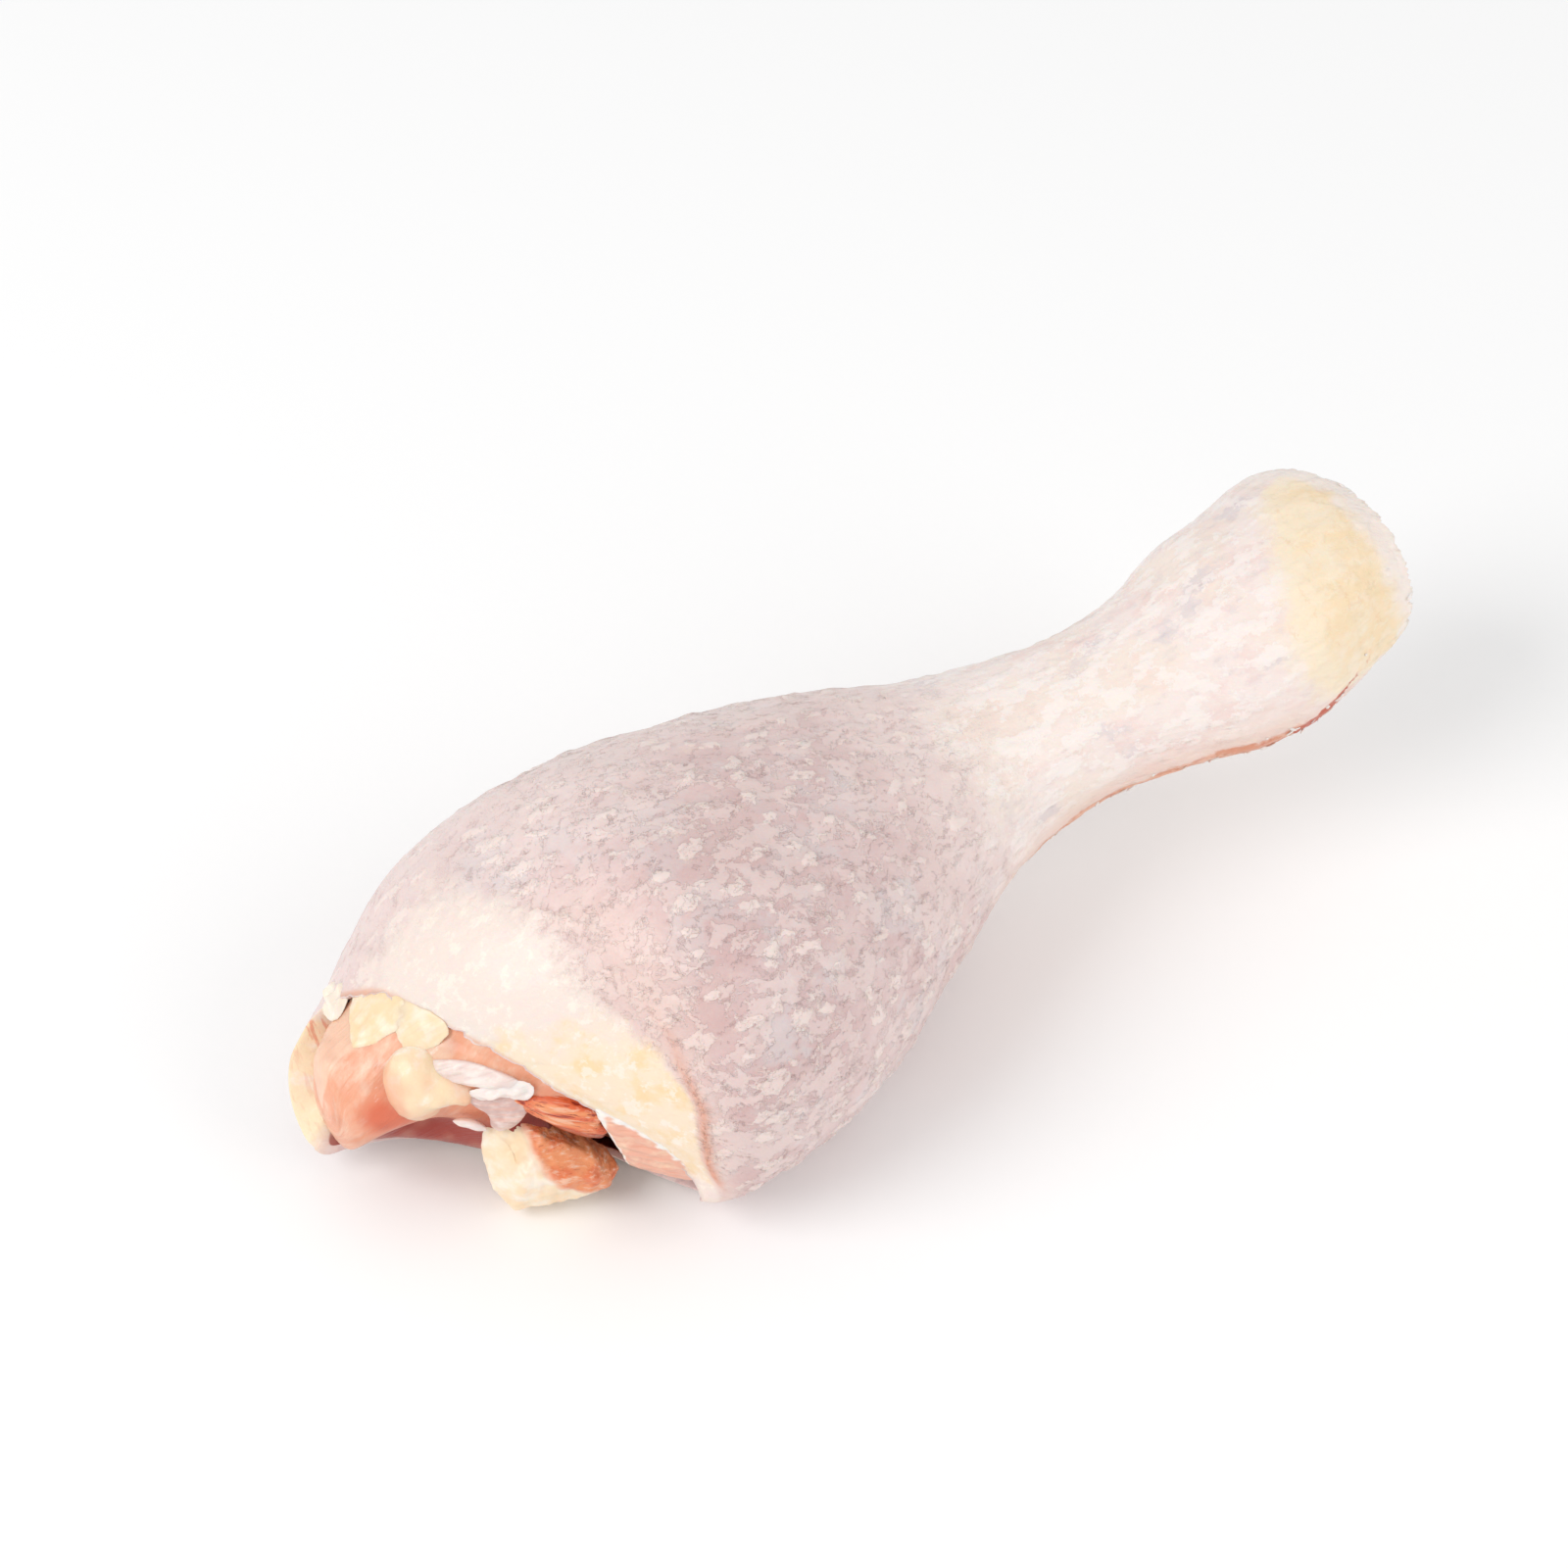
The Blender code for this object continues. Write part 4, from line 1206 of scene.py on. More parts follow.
def flake(
    outline, base, height, under, count=96, rings=26, edge=0.35, seed=1, lumps=0.12, white=0.0
):
    """Body lying on the leg inside an outline of places, domed on its outer side.

    Gives its points, its faces, how far each point is from the middle to the rim,
    the place of each point as distances in millimetres, and how white it is.
    """
    loop = closed_curve(outline, count)
    round_loop = np.linspace(0, 2 * pi, count, endpoint=False)
    ring = np.stack([np.cos(round_loop), np.sin(round_loop)], -1)
    jag = 0.035 * waves(ring * 8, 1.8, seed + 7) + 0.02 * waves(ring * 8, 0.6, seed + 8)
    loop = loop + (loop - loop.mean(axis=0)) * (jag / 2.2)[:, None]
    middle = loop.mean(axis=0)
    radius = np.linalg.norm(outside(*middle)[1:] - section_middle(middle[:1])[0])
    shares = np.concatenate([np.linspace(0, 1, rings)[1:] ** 0.8, np.linspace(1, 0, 7)[1:-1]])
    upper = np.arange(len(shares)) < rings - 1
    points = [None]
    flat_places = []
    for share, top in zip(shares, upper):
        place = middle + (loop - middle) * share
        x, angle = place[:, 0], place[:, 1]
        dome = (1 - share ** 2.6) ** edge
        arc = np.stack([x, np.radians(angle) * radius], -1)
        if top:
            rise = height * dome + lumps * waves(arc, 0.9, seed) * dome
        else:
            rise = -under * dome * np.ones(count)
        surface = outside(x, angle)
        out = directions(x, angle)[0]
        points.append(surface + out * (rise - base)[:, None])
        flat_places.append(arc)
    out = directions(*middle)[0]
    surface = outside(*middle)
    points[0] = (surface + out * (height - base))[None]
    points.append((surface - out * (base + under))[None])
    centre_arc = np.array([[middle[0], np.radians(middle[1]) * radius]])
    arcs = np.concatenate([centre_arc] + flat_places + [centre_arc])
    rim = np.concatenate([[0.0], np.repeat(np.where(upper, shares, 1.0), count), [1.0]])
    faces = []
    for ring in range(len(shares) - 1):
        for k in range(count):
            after = (k + 1) % count
            a = 1 + ring * count
            b = a + count
            faces.append((a + k, b + k, b + after, a + after))
    last = 1 + (len(shares) - 1) * count
    end = last + count
    for k in range(count):
        after = (k + 1) % count
        faces.append((0, 1 + k, 1 + after))
        faces.append((end, last + after, last + k))
    return np.concatenate(points), faces, rim, arcs, np.full(len(rim), white)


def rounded_ring(ring, share, waves_kept=5):
    """Ring eased by a share towards its own broad outline, without its small folds."""
    turns = np.fft.rfft(ring, axis=0)
    turns[waves_kept:] = 0
    return ring + (np.fft.irfft(turns, len(ring), axis=0) - ring) * share


def soften_end(obj, before, rounds):
    """Smooth the knee end of a body, where its rings draw together."""
    shape = bmesh.new()
    shape.from_mesh(obj.data)
    tip = [v for v in shape.verts if v.co.x < before * MM]
    for _ in range(rounds):
        bmesh.ops.smooth_vert(
            shape, verts=tip, factor=0.5, use_axis_x=True, use_axis_y=True, use_axis_z=True
        )
    shape.to_mesh(obj.data)
    shape.free()


def joined(parts):
    """One list of points, faces and values from several bodies."""
    points, faces, values = [], [], []
    shift = 0
    for part_points, part_faces, *part_values in parts:
        points.append(part_points)
        faces += [tuple(index + shift for index in face) for face in part_faces]
        values.append(part_values)
        shift += len(part_points)
    return np.concatenate(points), faces, [np.concatenate(column) for column in zip(*values)]


def remeshed(obj, voxel, rounds):
    """One closed skin round overlapping bodies, softened where they meet."""
    mesher = obj.modifiers.new("one_skin", "REMESH")
    mesher.mode = "VOXEL"
    mesher.voxel_size = voxel * MM
    soften = obj.modifiers.new("soften", "SMOOTH")
    soften.factor = 0.5
    soften.iterations = rounds
    settle(obj)


def rounded_body(centre, half_sizes, turn, segments=48, rings=24):
    """Points and faces of an ellipsoid turned about the vertical."""
    ball = bmesh.new()
    place = (
        Matrix.Translation(centre) @ Matrix.Rotation(radians(turn), 4, "Z")
        @ Matrix.Diagonal(list(half_sizes) + [1.0])
    )
    bmesh.ops.create_uvsphere(ball, u_segments=segments, v_segments=rings, radius=1.0, matrix=place)
    points = np.array([v.co[:] for v in ball.verts])
    faces = [tuple(v.index for v in face.verts) for face in ball.faces]
    ball.free()
    return points, faces


def round_path(path, sides=32, steps=40):
    """Closed round body through stations: x, y, z, half width, half height."""
    table = np.asarray(path, float)
    numbered = np.column_stack([np.arange(len(table)), table])
    at = np.linspace(0, len(table) - 1, steps)
    centre = np.stack([curve_through(numbered, k, at) for k in (1, 2, 3)], -1)
    wide, high = (curve_through(numbered, k, at) for k in (4, 5))
    ahead = np.gradient(centre, axis=0)
    ahead = ahead / np.linalg.norm(ahead, axis=1, keepdims=True)
    across = np.cross(ahead, np.array([0.0, 0.0, 1.0]))
    across = across / np.linalg.norm(across, axis=1, keepdims=True)
    rise = np.cross(across, ahead)
    around = np.arange(sides) * 2 * pi / sides
    rings = [
        centre[k] + wide[k] * np.cos(around)[:, None] * across[k]
        + high[k] * np.sin(around)[:, None] * rise[k]
        for k in range(steps)
    ]
    return capped_rings([
        centre[0] - ahead[0] * high[0] * 0.4 + (rings[0] - centre[0]) * 0.6, *rings,
        centre[-1] + ahead[-1] * high[-1] * 0.4 + (rings[-1] - centre[-1]) * 0.6,
    ])


LUMP_VOXEL = 0.22  # grain size of the lumps' meshes

# Bone: its shaft as stations (x, y, z, half width, half height), and its rounded
# ends, each a middle, half sizes and a turn about the vertical.
SHAFT = (
    (-54, 2.1, 12.8, 5, 5.2), (-46, 3.6, 14.6, 6.4, 5.8), (-36, 4, 17, 4.8, 4.4),
    (-16, 3.8, 19.6, 3.9, 3.7), (10, 5, 22, 3.6, 3.4), (28, 3.7, 25, 3.9, 3.6),
    (42, 2.2, 27.4, 5.2, 4.8), (53, 2.2, 28.8, 7, 6.2), (62, 3.2, 29.8, 8.2, 6.8),
    (69, 3.8, 30.3, 7.4, 5.8),
)
KNEE_HEAD = ((-54, 3.0, 12.6), (6.6, 7.6, 6.8), 8)
KNEE_KNOB = ((-63.4, 2.7, 17.7), (4.0, 3.8, 5.4), -25)
HOCK_FAR = ((66.2, 8.2, 30.6), (7.6, 4.7, 8.0), -4)
HOCK_NEAR = ((66.4, -0.2, 30.4), (7.4, 4.9, 7.6), 5)
# Tongue beside the knob: place along, angle, depth, half width.
TONGUE = (
    (-64.8, 151, 2.6, 3.4), (-63.2, 156, 1.8, 3.2), (-61.6, 160, 1.5, 2.7), (-60.2, 166, 1.5, 1.8),
)

# Knuckle: its middle, the way its fibres run, its upper side, its dent and its corners.
KNUCKLE_MIDDLE = (-52.8, -8.6, 7.0)
KNUCKLE_GRAIN = (0.80, -0.52, -0.28)
KNUCKLE_UP = (0.10, 0.02, 0.99)
KNUCKLE_DENT = (-56.8, -7.0, 10.6)
KNUCKLE_CORNERS = (
    (-58.1, -2.4, 12.4), (-55.4, -4.1, 14.0), (-52.4, -6.2, 13.2), (-48.6, -8.4, 10.6),
    (-46.4, -10.6, 8.4), (-45.8, -12.6, 6.2), (-47.4, -13.4, 4.7), (-51.0, -12.2, 3.4),
    (-57.8, -8.7, 2.0), (-59.4, -6.6, 4.8), (-59.2, -4.0, 7.8), (-53.6, -8.9, 12.9),
    (-50.0, -13.9, 8.0), (-57.5, -10.4, 9.2), (-57.7, -5.9, 11.6), (-48.8, -12.3, 9.9),
    (-56.1, -0.4, 5.9), (-50.4, -4.2, 5.1), (-45.7, -8.7, 3.9), (-48.0, -8.9, 0.9),
    (-55.7, -6.0, 0.3), (-57.2, -2.7, 2.7),
)

# Outlines on the cut face: place along, angle.
FAT_PAD = (
    (-65.0, 72), (-63.8, 81), (-62.6, 92), (-61.8, 103), (-62.0, 111), (-63.5, 114.5),
    (-65.0, 113), (-66.0, 112), (-67.2, 109), (-68.3, 103), (-68.0, 95), (-67.3, 86), (-66.6, 78),
)
CREAM_FLAKE = (
    (-62.2, 101), (-61.0, 112), (-60.0, 122), (-59.8, 129), (-61.0, 133), (-62.5, 133),
    (-63.9, 130), (-64.2, 122), (-64.0, 113), (-63.4, 105),
)
NUB = ((-65.2, 30), (-64.6, 48), (-65.0, 64), (-66.8, 72), (-68.2, 70), (-68.2, 52), (-67.0, 36))
TENDON = (
    (-62.9, 138), (-61.4, 141), (-59.6, 145), (-57.6, 152), (-55.6, 160), (-55.3, 165),
    (-56.6, 164), (-58.8, 161), (-60.8, 156), (-62.4, 150), (-63.2, 143),
)
WHITE_TIP = (
    (-60.0, 162), (-57.6, 160), (-55.6, 159), (-54.6, 163), (-55.4, 169), (-57.2, 167),
    (-59.2, 168),
)
SLIVER = ((-61.8, 184), (-60.6, 184.5), (-59.4, 188), (-58.9, 192), (-60.0, 191), (-61.2, 188))
LIGAMENT = (
    (-60.6, 164), (-58.6, 165), (-56.4, 167), (-55.6, 175), (-56.2, 184), (-57.6, 193),
    (-58.6, 190), (-58.9, 180), (-60.2, 172),
)
FLAP = (
    (-49.9, 174), (-47.8, 177), (-44.6, 187), (-41.4, 202), (-40.2, 215), (-42.4, 218),
    (-45.4, 217), (-46.5, 209), (-47.6, 198), (-48.9, 186),
)
# Bundles of the red muscle: place along, angle, depth, half width.
MUSCLE_BUNDLES = (
    (
        (-56.4, 170, 0.9, 1.2), (-53.8, 173, 0.4, 1.9), (-51.2, 176, 0.4, 1.7),
        (-49.6, 180, 0.8, 0.9),
    ),
    (
        (-56.0, 175, 1.2, 1.2), (-53.4, 179, 0.6, 1.8), (-50.8, 183, 0.6, 1.7),
        (-49.2, 188, 1.1, 0.8),
    ),
    (
        (-55.4, 180, 1.8, 1.0), (-53.0, 185, 1.3, 1.5), (-50.8, 189, 1.2, 1.4),
        (-49.4, 193, 1.8, 0.8),
    ),
)


# ------------------------------------------------------------------------ settings

class DrumstickSettings(bpy.types.PropertyGroup):
    """What can be set in the sidebar before the pieces are built."""

    spot_spacing: FloatProperty(
        name="Spot Spacing", description="Distance between the raised spots of the skin",
        default=0.0043, unit="LENGTH",
    )
    spot_height: FloatProperty(
        name="Spot Height", description="How far a raised spot stands out", default=0.00022,
        unit="LENGTH",
    )
    furrow_depth: FloatProperty(
        name="Furrow Depth", description="How deep the furrows between the spots are",
        default=0.00016, unit="LENGTH",
    )
    wrinkle_height: FloatProperty(
        name="Wrinkle Height", description="Height of the long wrinkles of the shank",
        default=0.00042, unit="LENGTH",
    )
    fold_height: FloatProperty(
        name="Fold Height", description="Height of the ridge where the skin is folded",
        default=0.00045, unit="LENGTH",
    )
    shred_density: FloatProperty(
        name="Shreds", description="Torn scraps on each square metre of ragged skin",
        default=260000.0,
    )
    fibre_height: FloatProperty(
        name="Fibre Height", description="Height of the fibres of cut muscle",
        default=0.00022, unit="LENGTH",
    )
    skin_lavender: FloatVectorProperty(
        name="Skin", description="Main colour of the skin over the belly", subtype="COLOR",
        size=3, default=shade("lavender")[:3],
    )
    bone_voxel: FloatProperty(
        name="Bone Detail", description="Grain size of the bone's mesh", default=0.00045,
        unit="LENGTH",
    )
    key_light: FloatProperty(
        name="Key Light", description="Power of the large soft light in watts", default=3.1,
    )
    fill_light: FloatProperty(
        name="Fill Light", description="Power of the fill light in watts", default=2.1,
    )
    sky: FloatProperty(
        name="Surroundings", description="Brightness of the white surroundings", default=0.69,
    )
    camera_azimuth: FloatProperty(
        name="Camera Azimuth", description="Turn of the camera from straight in front",
        default=radians(-33), subtype="ANGLE",
    )
    camera_elevation: FloatProperty(
        name="Camera Elevation", description="Height angle of the camera",
        default=radians(46), subtype="ANGLE",
    )
    camera_distance: FloatProperty(
        name="Camera Distance", description="From the camera to what it looks at",
        default=0.520, unit="LENGTH",
    )


# ------------------------------------------------------------------------ operators

class DRUMSTICK_OT_skin(bpy.types.Operator):
    """Add the sleeve of skin with its spots, furrows, fold and fatty lip"""

    bl_idname = "drumstick.skin"
    bl_label = "Add Skin"

    def execute(self, context):
        look = context.scene.drumstick
        rows, side, angle = skin_grid()
        count, columns = rows.shape[:2]
        obj = mesh_object(
            "skin_sleeve", rows.reshape(-1, 3), grid_faces(count, columns, closed_rows=True)
        )
        for name, values in skin_masks(rows, side, angle).items():
            store(obj, name, np.broadcast_to(values, (count, columns)).reshape(-1))
        x = rows[..., 0]
        place = np.stack([x, unrolled(x, angle), np.zeros_like(x)], -1)
        store(obj, "skin_mm", place.reshape(-1, 3))
        store(obj, "body_mm", rows.reshape(-1, 3))
        face_out(obj)
        run_tree(obj, skin_relief_tree(look.spot_spacing / MM), {
            "Spot Height": look.spot_height / MM, "Furrow Depth": look.furrow_depth / MM,
            "Wrinkle Height": look.wrinkle_height / MM, "Fold Height": look.fold_height / MM,
            "Shreds": look.shred_density, "Material": skin_material(look),
        })
        keep_above(obj, 0.02)
        finish_piece(obj, "skin", "skin")
        return {"FINISHED"}


class DRUMSTICK_OT_flesh(bpy.types.Operator):
    """Add the flesh under the skin and across the cut"""

    bl_idname = "drumstick.flesh"
    bl_label = "Add Flesh"

    def execute(self, context):
        look = context.scene.drumstick
        rings, x, angle, shrunk = flesh_rings()
        obj = mesh_object("flesh_body", *capped_rings(rings))
        for name, values in flesh_masks(rings, x, angle).items():
            store(obj, name, np.append(values.reshape(-1), (0, 0)))
        place = np.stack([x, unrolled(x, angle) * shrunk, np.zeros_like(x)], -1)
        place = np.append(place.reshape(-1, 3), [place[0, 0], place[-1, 0]], axis=0)
        store(obj, "skin_mm", place)
        store(obj, "grain_mm", place)
        face_out(obj)
        soften_end(obj, -65.0, 24)
        run_tree(obj, fibre_tree(), {
            "Fibre Width": 0.9, "Fibre Height": 0.5 * look.fibre_height / MM,
            "Material": flesh_material(),
        })
        finish_piece(obj, "meat", "meat")
        return {"FINISHED"}


class DRUMSTICK_OT_bone(bpy.types.Operator):
    """Add the leg bone with its knob at the knee and knuckles at the hock"""

    bl_idname = "drumstick.bone"
    bl_label = "Add Bone"

    def execute(self, context):
        look = context.scene.drumstick
        parts = [round_path(SHAFT, 40, 90)]
        for body in (KNEE_HEAD, KNEE_KNOB, HOCK_FAR, HOCK_NEAR):
            parts.append(rounded_body(*body))
        tongue = [
            (*(outside(x, angle) - directions(x, angle)[0] * deep), wide, wide * 0.8)
            for x, angle, deep, wide in TONGUE
        ]
        parts.append(round_path(tongue, 24, 16))
        points, faces, _ = joined(parts)
        obj = mesh_object("bone_body", points, faces)
        face_out(obj)
        remeshed(obj, look.bone_voxel / MM, 6)
        at = points_of(obj)
        lumps = 0.10 * waves(at, 1.8, 41) + 0.04 * waves(at, 0.8, 42)
        move_points(obj, at + normals_of(obj) * lumps[:, None])
        low = smoothstep(at[:, 2], 17.6, 14.8) * smoothstep(at[:, 0], -58, -61)
        # Painted shade: the knee end of the knob is painted orange pink, like a contact shadow.
        left = smoothstep(at[:, 0], -65.6, -67.0)
        slits = hill(at[:, 0], at[:, 2] * 8, 72.6, 31.0 * 8, 1.4, 14) * 0.9
        tongue = smoothstep(at[:, 0], -62.2, -60.6) * smoothstep(at[:, 0], -50, -56)
        near_knee = at[:, 0] < 0
        pink = 0.6 * low + 0.9 * left * near_knee + slits + 0.6 * tongue
        store(obj, "pink", np.clip(pink + 0.15 * waves(at, 1.2, 43) * near_knee, 0, 1))
        store(obj, "blue", 0.55 * smoothstep(at[:, 0], 69.5, 72.5))
        obj.data.materials.clear()
        obj.data.materials.append(cartilage_material())
        finish_piece(obj, "bone", "leg_bone")
        return {"FINISHED"}


class DRUMSTICK_OT_knuckle(bpy.types.Operator):
    """Add the gristly lump with torn muscle at its inner end"""

    bl_idname = "drumstick.knuckle"
    bl_label = "Add Knuckle"

    def execute(self, context):
        look = context.scene.drumstick
        corners = bmesh.new()
        for corner in KNUCKLE_CORNERS:
            corners.verts.new(corner)
        bmesh.ops.convex_hull(corners, input=corners.verts)
        bmesh.ops.delete(
            corners, geom=[v for v in corners.verts if not v.link_faces], context="VERTS"
        )
        corners.verts.index_update()
        points = np.array([v.co[:] for v in corners.verts])
        faces = [tuple(v.index for v in face.verts) for face in corners.faces]
        corners.free()
        obj = mesh_object("knuckle_body", points, faces)
        face_out(obj)
        remeshed(obj, LUMP_VOXEL, 14)
        at = points_of(obj)
        ahead, up = np.array(KNUCKLE_GRAIN), np.array(KNUCKLE_UP)
        local = at - np.array(KNUCKLE_MIDDLE)
        along, rise = local @ ahead, local @ up
        normals = normals_of(obj)
        dent = np.exp(-(np.linalg.norm(at - np.array(KNUCKLE_DENT), axis=1) / 2.3) ** 2)
        push = 0.12 * waves(at, 1.6, 51) + 0.05 * waves(at, 0.6, 52) - 1.5 * dent
        moved = at + normals * push[:, None]
        moved[:, 2] = np.maximum(moved[:, 2], 0.3)
        move_points(obj, moved)
        meaty = smoothstep(along + 1.0 * rise + 0.3 * waves(at, 1.4, 53), 0.2, 3.0)
        meaty = meaty * smoothstep(rise + 0.25 * along, -1.4, 0.0)
        store(obj, "meaty", meaty)
        side = np.cross(up, ahead)
        fan = 1 + 0.06 * (along + 3)
        store(obj, "grain_mm", np.stack([along, rise / fan, (local @ side) / fan], -1))
        store(obj, "fibrous", meaty)
        store(obj, "pale", smoothstep(rise + 0.2 * along, -0.6, -2.2) * smoothstep(along, 0.0, 2.5))
        seam = along + 1.0 * rise - 1.0
        store(obj, "dark", np.exp(-(seam / 0.28) ** 2) * 0.12 * smoothstep(rise, 0.0, 2.0))
        store(obj, "yellow", np.clip(1.2 * dent, 0, 1))
        run_tree(obj, fibre_tree(), {
            "Fibre Width": 0.55, "Fibre Height": look.fibre_height / MM,
            "Material": knuckle_material(),
        })
        finish_piece(obj, "bone", "knuckle")
        return {"FINISHED"}


class DRUMSTICK_OT_muscle(bpy.types.Operator):
    """Add the fan of cut red muscle above the knuckle"""

    bl_idname = "drumstick.muscle"
    bl_label = "Add Red Muscle"

    def execute(self, context):
        look = context.scene.drumstick
        parts = []
        for bundle in MUSCLE_BUNDLES:
            stations = []
            for x, angle, deep, wide in bundle:
                centre = outside(x, angle) - directions(x, angle)[0] * (deep + wide * 0.55)
                stations.append((*centre, wide * 0.85, wide * 0.8))
            parts.append(round_path(stations, 32, 40))
        points, faces, _ = joined(parts)
        obj = mesh_object("red_muscle_body", points, faces)
        face_out(obj)
        remeshed(obj, LUMP_VOXEL, 3)
        at = points_of(obj)
        start = outside(-57.0, 170)
        end = outside(-49.0, 180)
        ahead = (end - start) / np.linalg.norm(end - start)
        up = np.array([0.0, 0.0, 1.0]) - ahead * ahead[2]
        up = up / np.linalg.norm(up)
        across = np.cross(ahead, up)
        local = at - start
        along = local @ ahead
        spread = 1 + 0.05 * (along - 4)
        grain = np.stack([along, local @ up / spread, local @ across / spread], -1)
        store(obj, "grain_mm", grain)
        store(obj, "fibrous", np.ones(len(at)))
        store(obj, "pale", 0.35 * smoothstep(along, 1.2, -0.6))
        # Painted shade: the lower side of the bundles is painted dark.
        low = smoothstep(grain[:, 1], -1.5, -3.4)
        store(obj, "dark", np.clip(0.8 * low, 0, 1))
        run_tree(obj, fibre_tree(), {
            "Fibre Width": 0.5, "Fibre Height": look.fibre_height / MM,
            "Material": muscle_material(),
        })
        finish_piece(obj, "red_meat", "red_muscle")
        return {"FINISHED"}


class DRUMSTICK_OT_tissues(bpy.types.Operator):
    """Add the tendon, the ligament, the pad of fat and the loose flap of meat"""

    bl_idname = "drumstick.tissues"
    bl_label = "Add Sinew, Fat and Flap"

    def add(self, name, parts, slot, replaced, material, pale_rim=None):
        """One piece of flakes; a pale rim marks it as meat, with a membrane along its edge."""
        points, faces, (rim, arcs, white) = joined(parts)
        obj = mesh_object(name, points, faces)
        store(obj, "rim", rim)
        store(obj, "white", white)
        store(obj, "grain_mm", np.column_stack([arcs, np.zeros(len(arcs))]))
        if pale_rim is not None:
            store(obj, "dark", np.zeros(len(rim)))
            store(obj, "pale", pale_rim(rim, arcs))
            store(obj, "fibrous", np.ones(len(rim)) * 0.5)
        face_out(obj)
        obj.data.materials.append(material)
        finish_piece(obj, slot, replaced)

    def execute(self, context):
        sinew = tissue_material("sinew", "sinew", "sinew_white", "sinew_grey", 0.34, 0.35)
        fat = tissue_material("soft_fat", "fat_warm", "fat_soft", "fat_pink", 0.36, 0.12)
        grey = tissue_material("thin_ligament", "sinew_grey", "sinew", "flesh", 0.36, 0.3)
        self.add("tendon_strip", [
            flake(TENDON, 0.5, 0.55, 1.2, seed=61, edge=0.6),
            flake(WHITE_TIP, 0.45, 0.45, 1.0, seed=62, edge=1.1, lumps=0.3, white=0.6),
        ], "sinew", "tendon", sinew)
        self.add("ligament_strip", [
            flake(LIGAMENT, 1.0, 0.6, 1.2, seed=64, edge=0.6),
            flake(SLIVER, 0.7, 0.5, 0.8, seed=65, edge=0.8, white=0.7),
        ], "sinew", "ligament", grey)
        self.add("fat_pad_flakes", [
            flake(FAT_PAD, 0.55, 0.34, 0.5, seed=66, edge=0.5, lumps=0.08),
            flake(CREAM_FLAKE, 0.55, 0.26, 0.5, seed=67, edge=0.6, lumps=0.06, white=0.1),
            flake(NUB, 0.5, 0.7, 0.9, seed=69, edge=0.9, lumps=0.45, white=0.7),
        ], "fat", "fat_pad", fat)

        def flap_rim(rim, arcs):
            return smoothstep(rim + 0.05 * waves(arcs, 0.8, 77), 0.80, 0.86)

        self.add("meat_flap", [flake(FLAP, 1.0, 0.9, 1.0, seed=68, lumps=0.12)], "meat", "flap",
                 flap_material(), flap_rim)
        return {"FINISHED"}


# Stage: metres, and for each lamp its direction, its distance and its width.
FLOOR_REACH = 3.0
LAMPS = (("key", (-0.74, 0.02, 0.66), 0.9, 0.55), ("fill", (0.55, -0.75, 0.60), 1.0, 0.8))
AIM_SHIFT = Vector((-0.0074, 0.0111, 0.0055))  # from the middle of the box to the aim


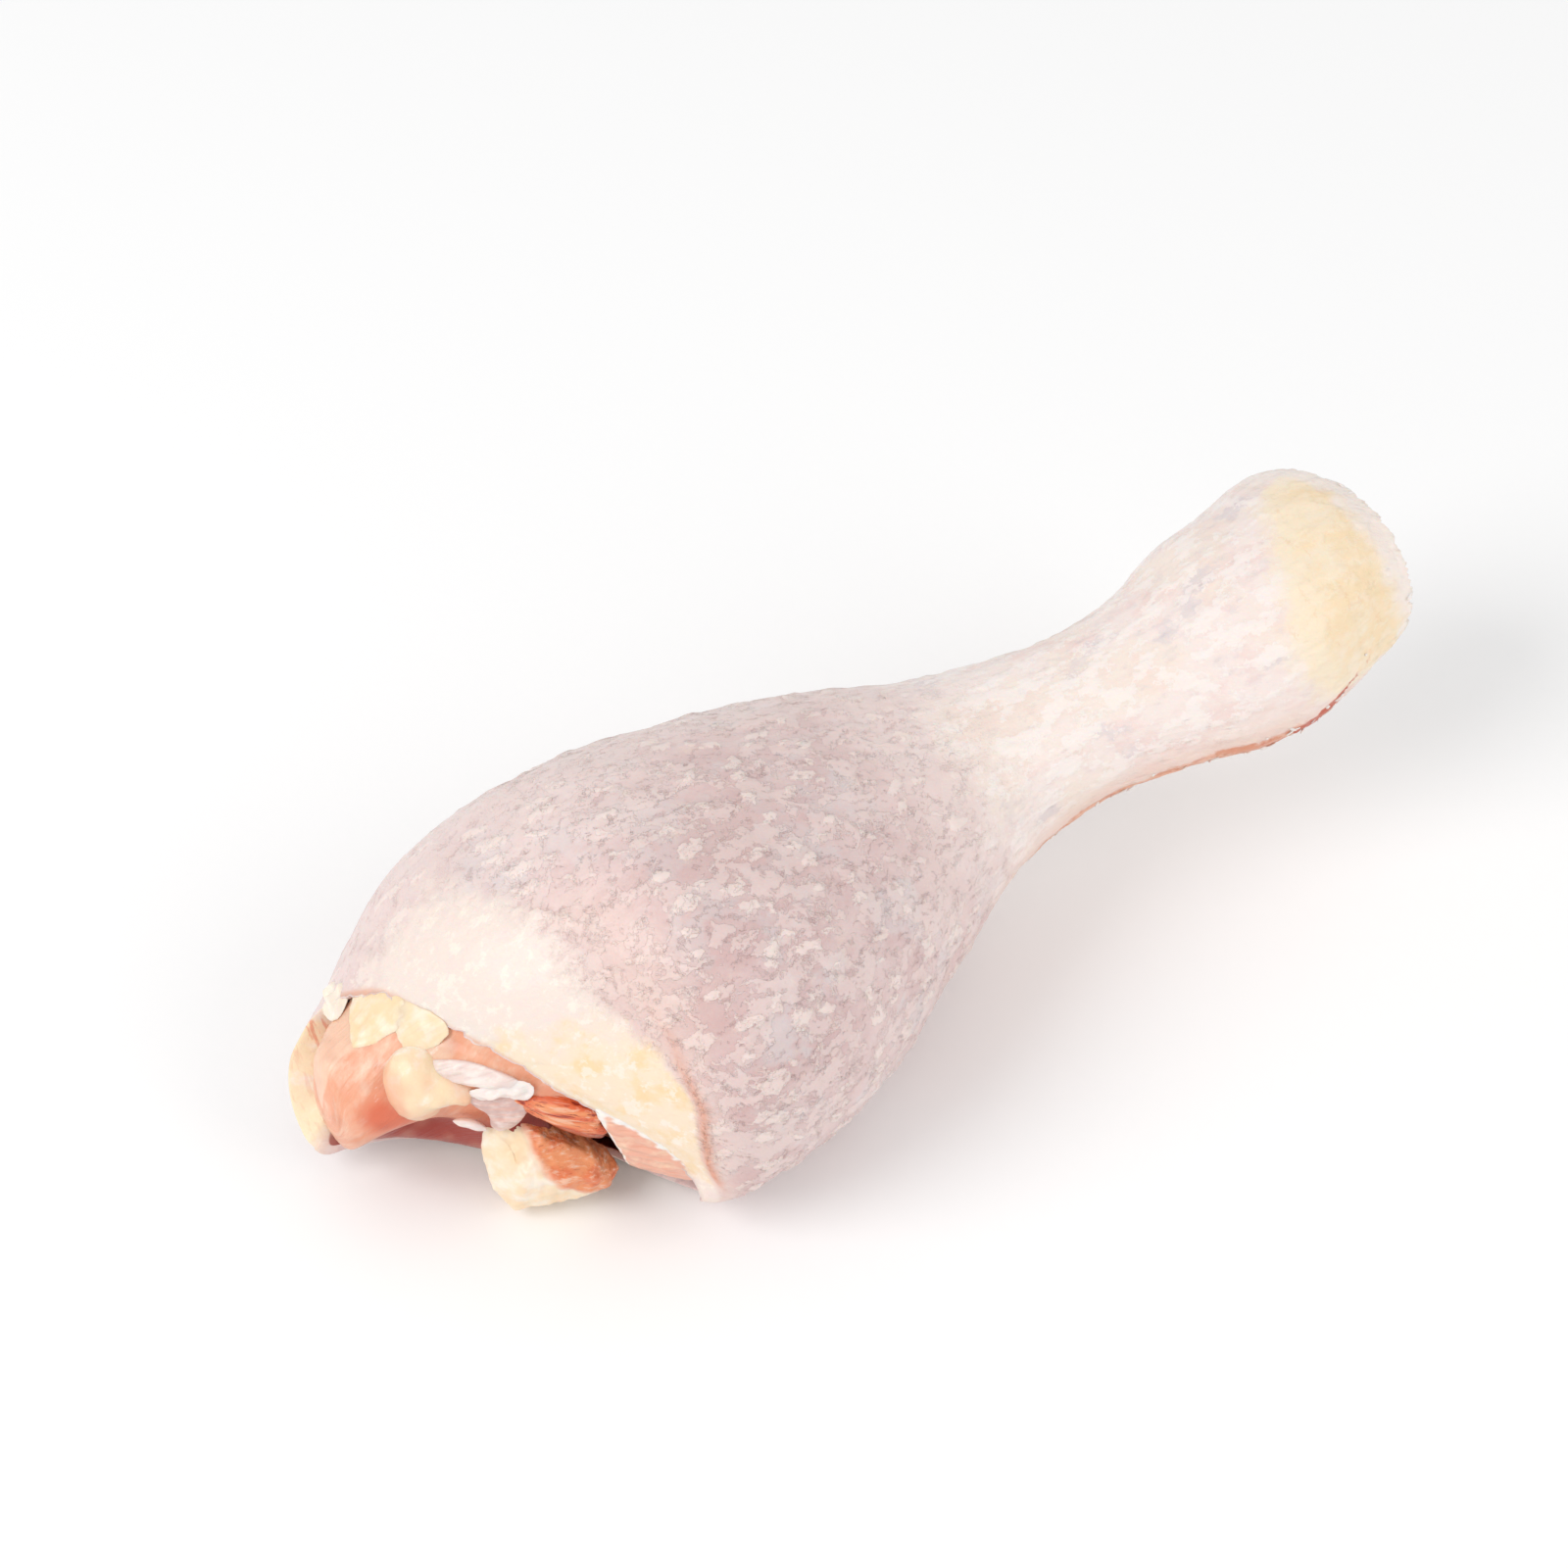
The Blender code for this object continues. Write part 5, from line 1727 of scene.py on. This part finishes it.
class DRUMSTICK_OT_stage(bpy.types.Operator):
    """Add the floor, the lights, the surroundings and the camera"""

    bl_idname = "drumstick.stage"
    bl_label = "Add Stage"

    def execute(self, context):
        look = context.scene.drumstick
        scene = context.scene
        low, high = CAD_BOX
        middle = Vector([(a + b) / 2 for a, b in zip(low, high)])
        floor = bpy.data.meshes.new("floor")
        square = ((-1, -1), (1, -1), (1, 1), (-1, 1))
        corners = [(x * FLOOR_REACH, y * FLOOR_REACH, 0) for x, y in square]
        floor.from_pydata(corners, [], [(0, 1, 2, 3)])
        ground = bpy.data.objects.new("floor", floor)
        scene.collection.objects.link(ground)
        paper, _, shader = new_material("white_paper")
        shader.inputs["Base Color"].default_value = shade("floor")
        shader.inputs["Roughness"].default_value = 0.9
        shader.inputs["Specular IOR Level"].default_value = 0.1
        floor.materials.append(paper)
        world = bpy.data.worlds.new("white_surroundings")
        world.use_nodes = True
        sky = world.node_tree.nodes["Background"]
        sky.inputs["Color"].default_value = (1.0, 1.0, 1.0, 1.0)
        sky.inputs["Strength"].default_value = look.sky
        scene.world = world
        for (name, way, distance, width), power in zip(LAMPS, (look.key_light, look.fill_light)):
            lamp = bpy.data.lights.new(name, "AREA")
            lamp.shape = "DISK"
            lamp.size = width
            lamp.energy = power
            holder = bpy.data.objects.new(name, lamp)
            away = Vector(way).normalized() * distance
            turned = away.to_track_quat("Z", "Y").to_matrix().to_4x4()
            holder.matrix_world = Matrix.Translation(middle + away) @ turned
            scene.collection.objects.link(holder)
        camera = bpy.data.cameras.new("camera")
        camera.lens = 100
        camera.sensor_width = 36
        camera.clip_start = 0.01
        camera.clip_end = 20
        turn, lift = look.camera_azimuth, look.camera_elevation
        back = Vector((sin(turn) * cos(lift), -cos(turn) * cos(lift), sin(lift)))
        right = Vector((cos(turn), sin(turn), 0))
        target = middle + AIM_SHIFT
        eye = bpy.data.objects.new("camera", camera)
        eye.matrix_world = (
            Matrix.Translation(target + back * look.camera_distance)
            @ Matrix((right, back.cross(right), back)).transposed().to_4x4()
        )
        scene.collection.objects.link(eye)
        scene.camera = eye
        scene.view_settings.view_transform = "Standard"
        scene.view_settings.look = "None"
        return {"FINISHED"}


class DRUMSTICK_PT_sidebar(bpy.types.Panel):
    """Settings of the drumstick and a button for each group of pieces"""

    bl_label = "Drumstick"
    bl_idname = "DRUMSTICK_PT_sidebar"
    bl_space_type = "VIEW_3D"
    bl_region_type = "UI"
    bl_category = "Drumstick"

    def draw(self, context):
        look = context.scene.drumstick
        for name in look.__annotations__:
            self.layout.prop(look, name)
        for operator in OPERATORS:
            self.layout.operator(operator.bl_idname)


OPERATORS = (
    DRUMSTICK_OT_skin, DRUMSTICK_OT_flesh, DRUMSTICK_OT_bone, DRUMSTICK_OT_knuckle,
    DRUMSTICK_OT_muscle, DRUMSTICK_OT_tissues, DRUMSTICK_OT_stage,
)
CLASSES = (DrumstickSettings, *OPERATORS, DRUMSTICK_PT_sidebar)


def register():
    for made in CLASSES:
        bpy.utils.register_class(made)
    bpy.types.Scene.drumstick = PointerProperty(type=DrumstickSettings)


def unregister():
    del bpy.types.Scene.drumstick
    for made in reversed(CLASSES):
        bpy.utils.unregister_class(made)


def main():
    register()
    bpy.ops.drumstick.skin()
    bpy.ops.drumstick.flesh()
    bpy.ops.drumstick.bone()
    bpy.ops.drumstick.knuckle()
    bpy.ops.drumstick.muscle()
    bpy.ops.drumstick.tissues()
    bpy.ops.drumstick.stage()


if __name__ == "__main__":
    main()
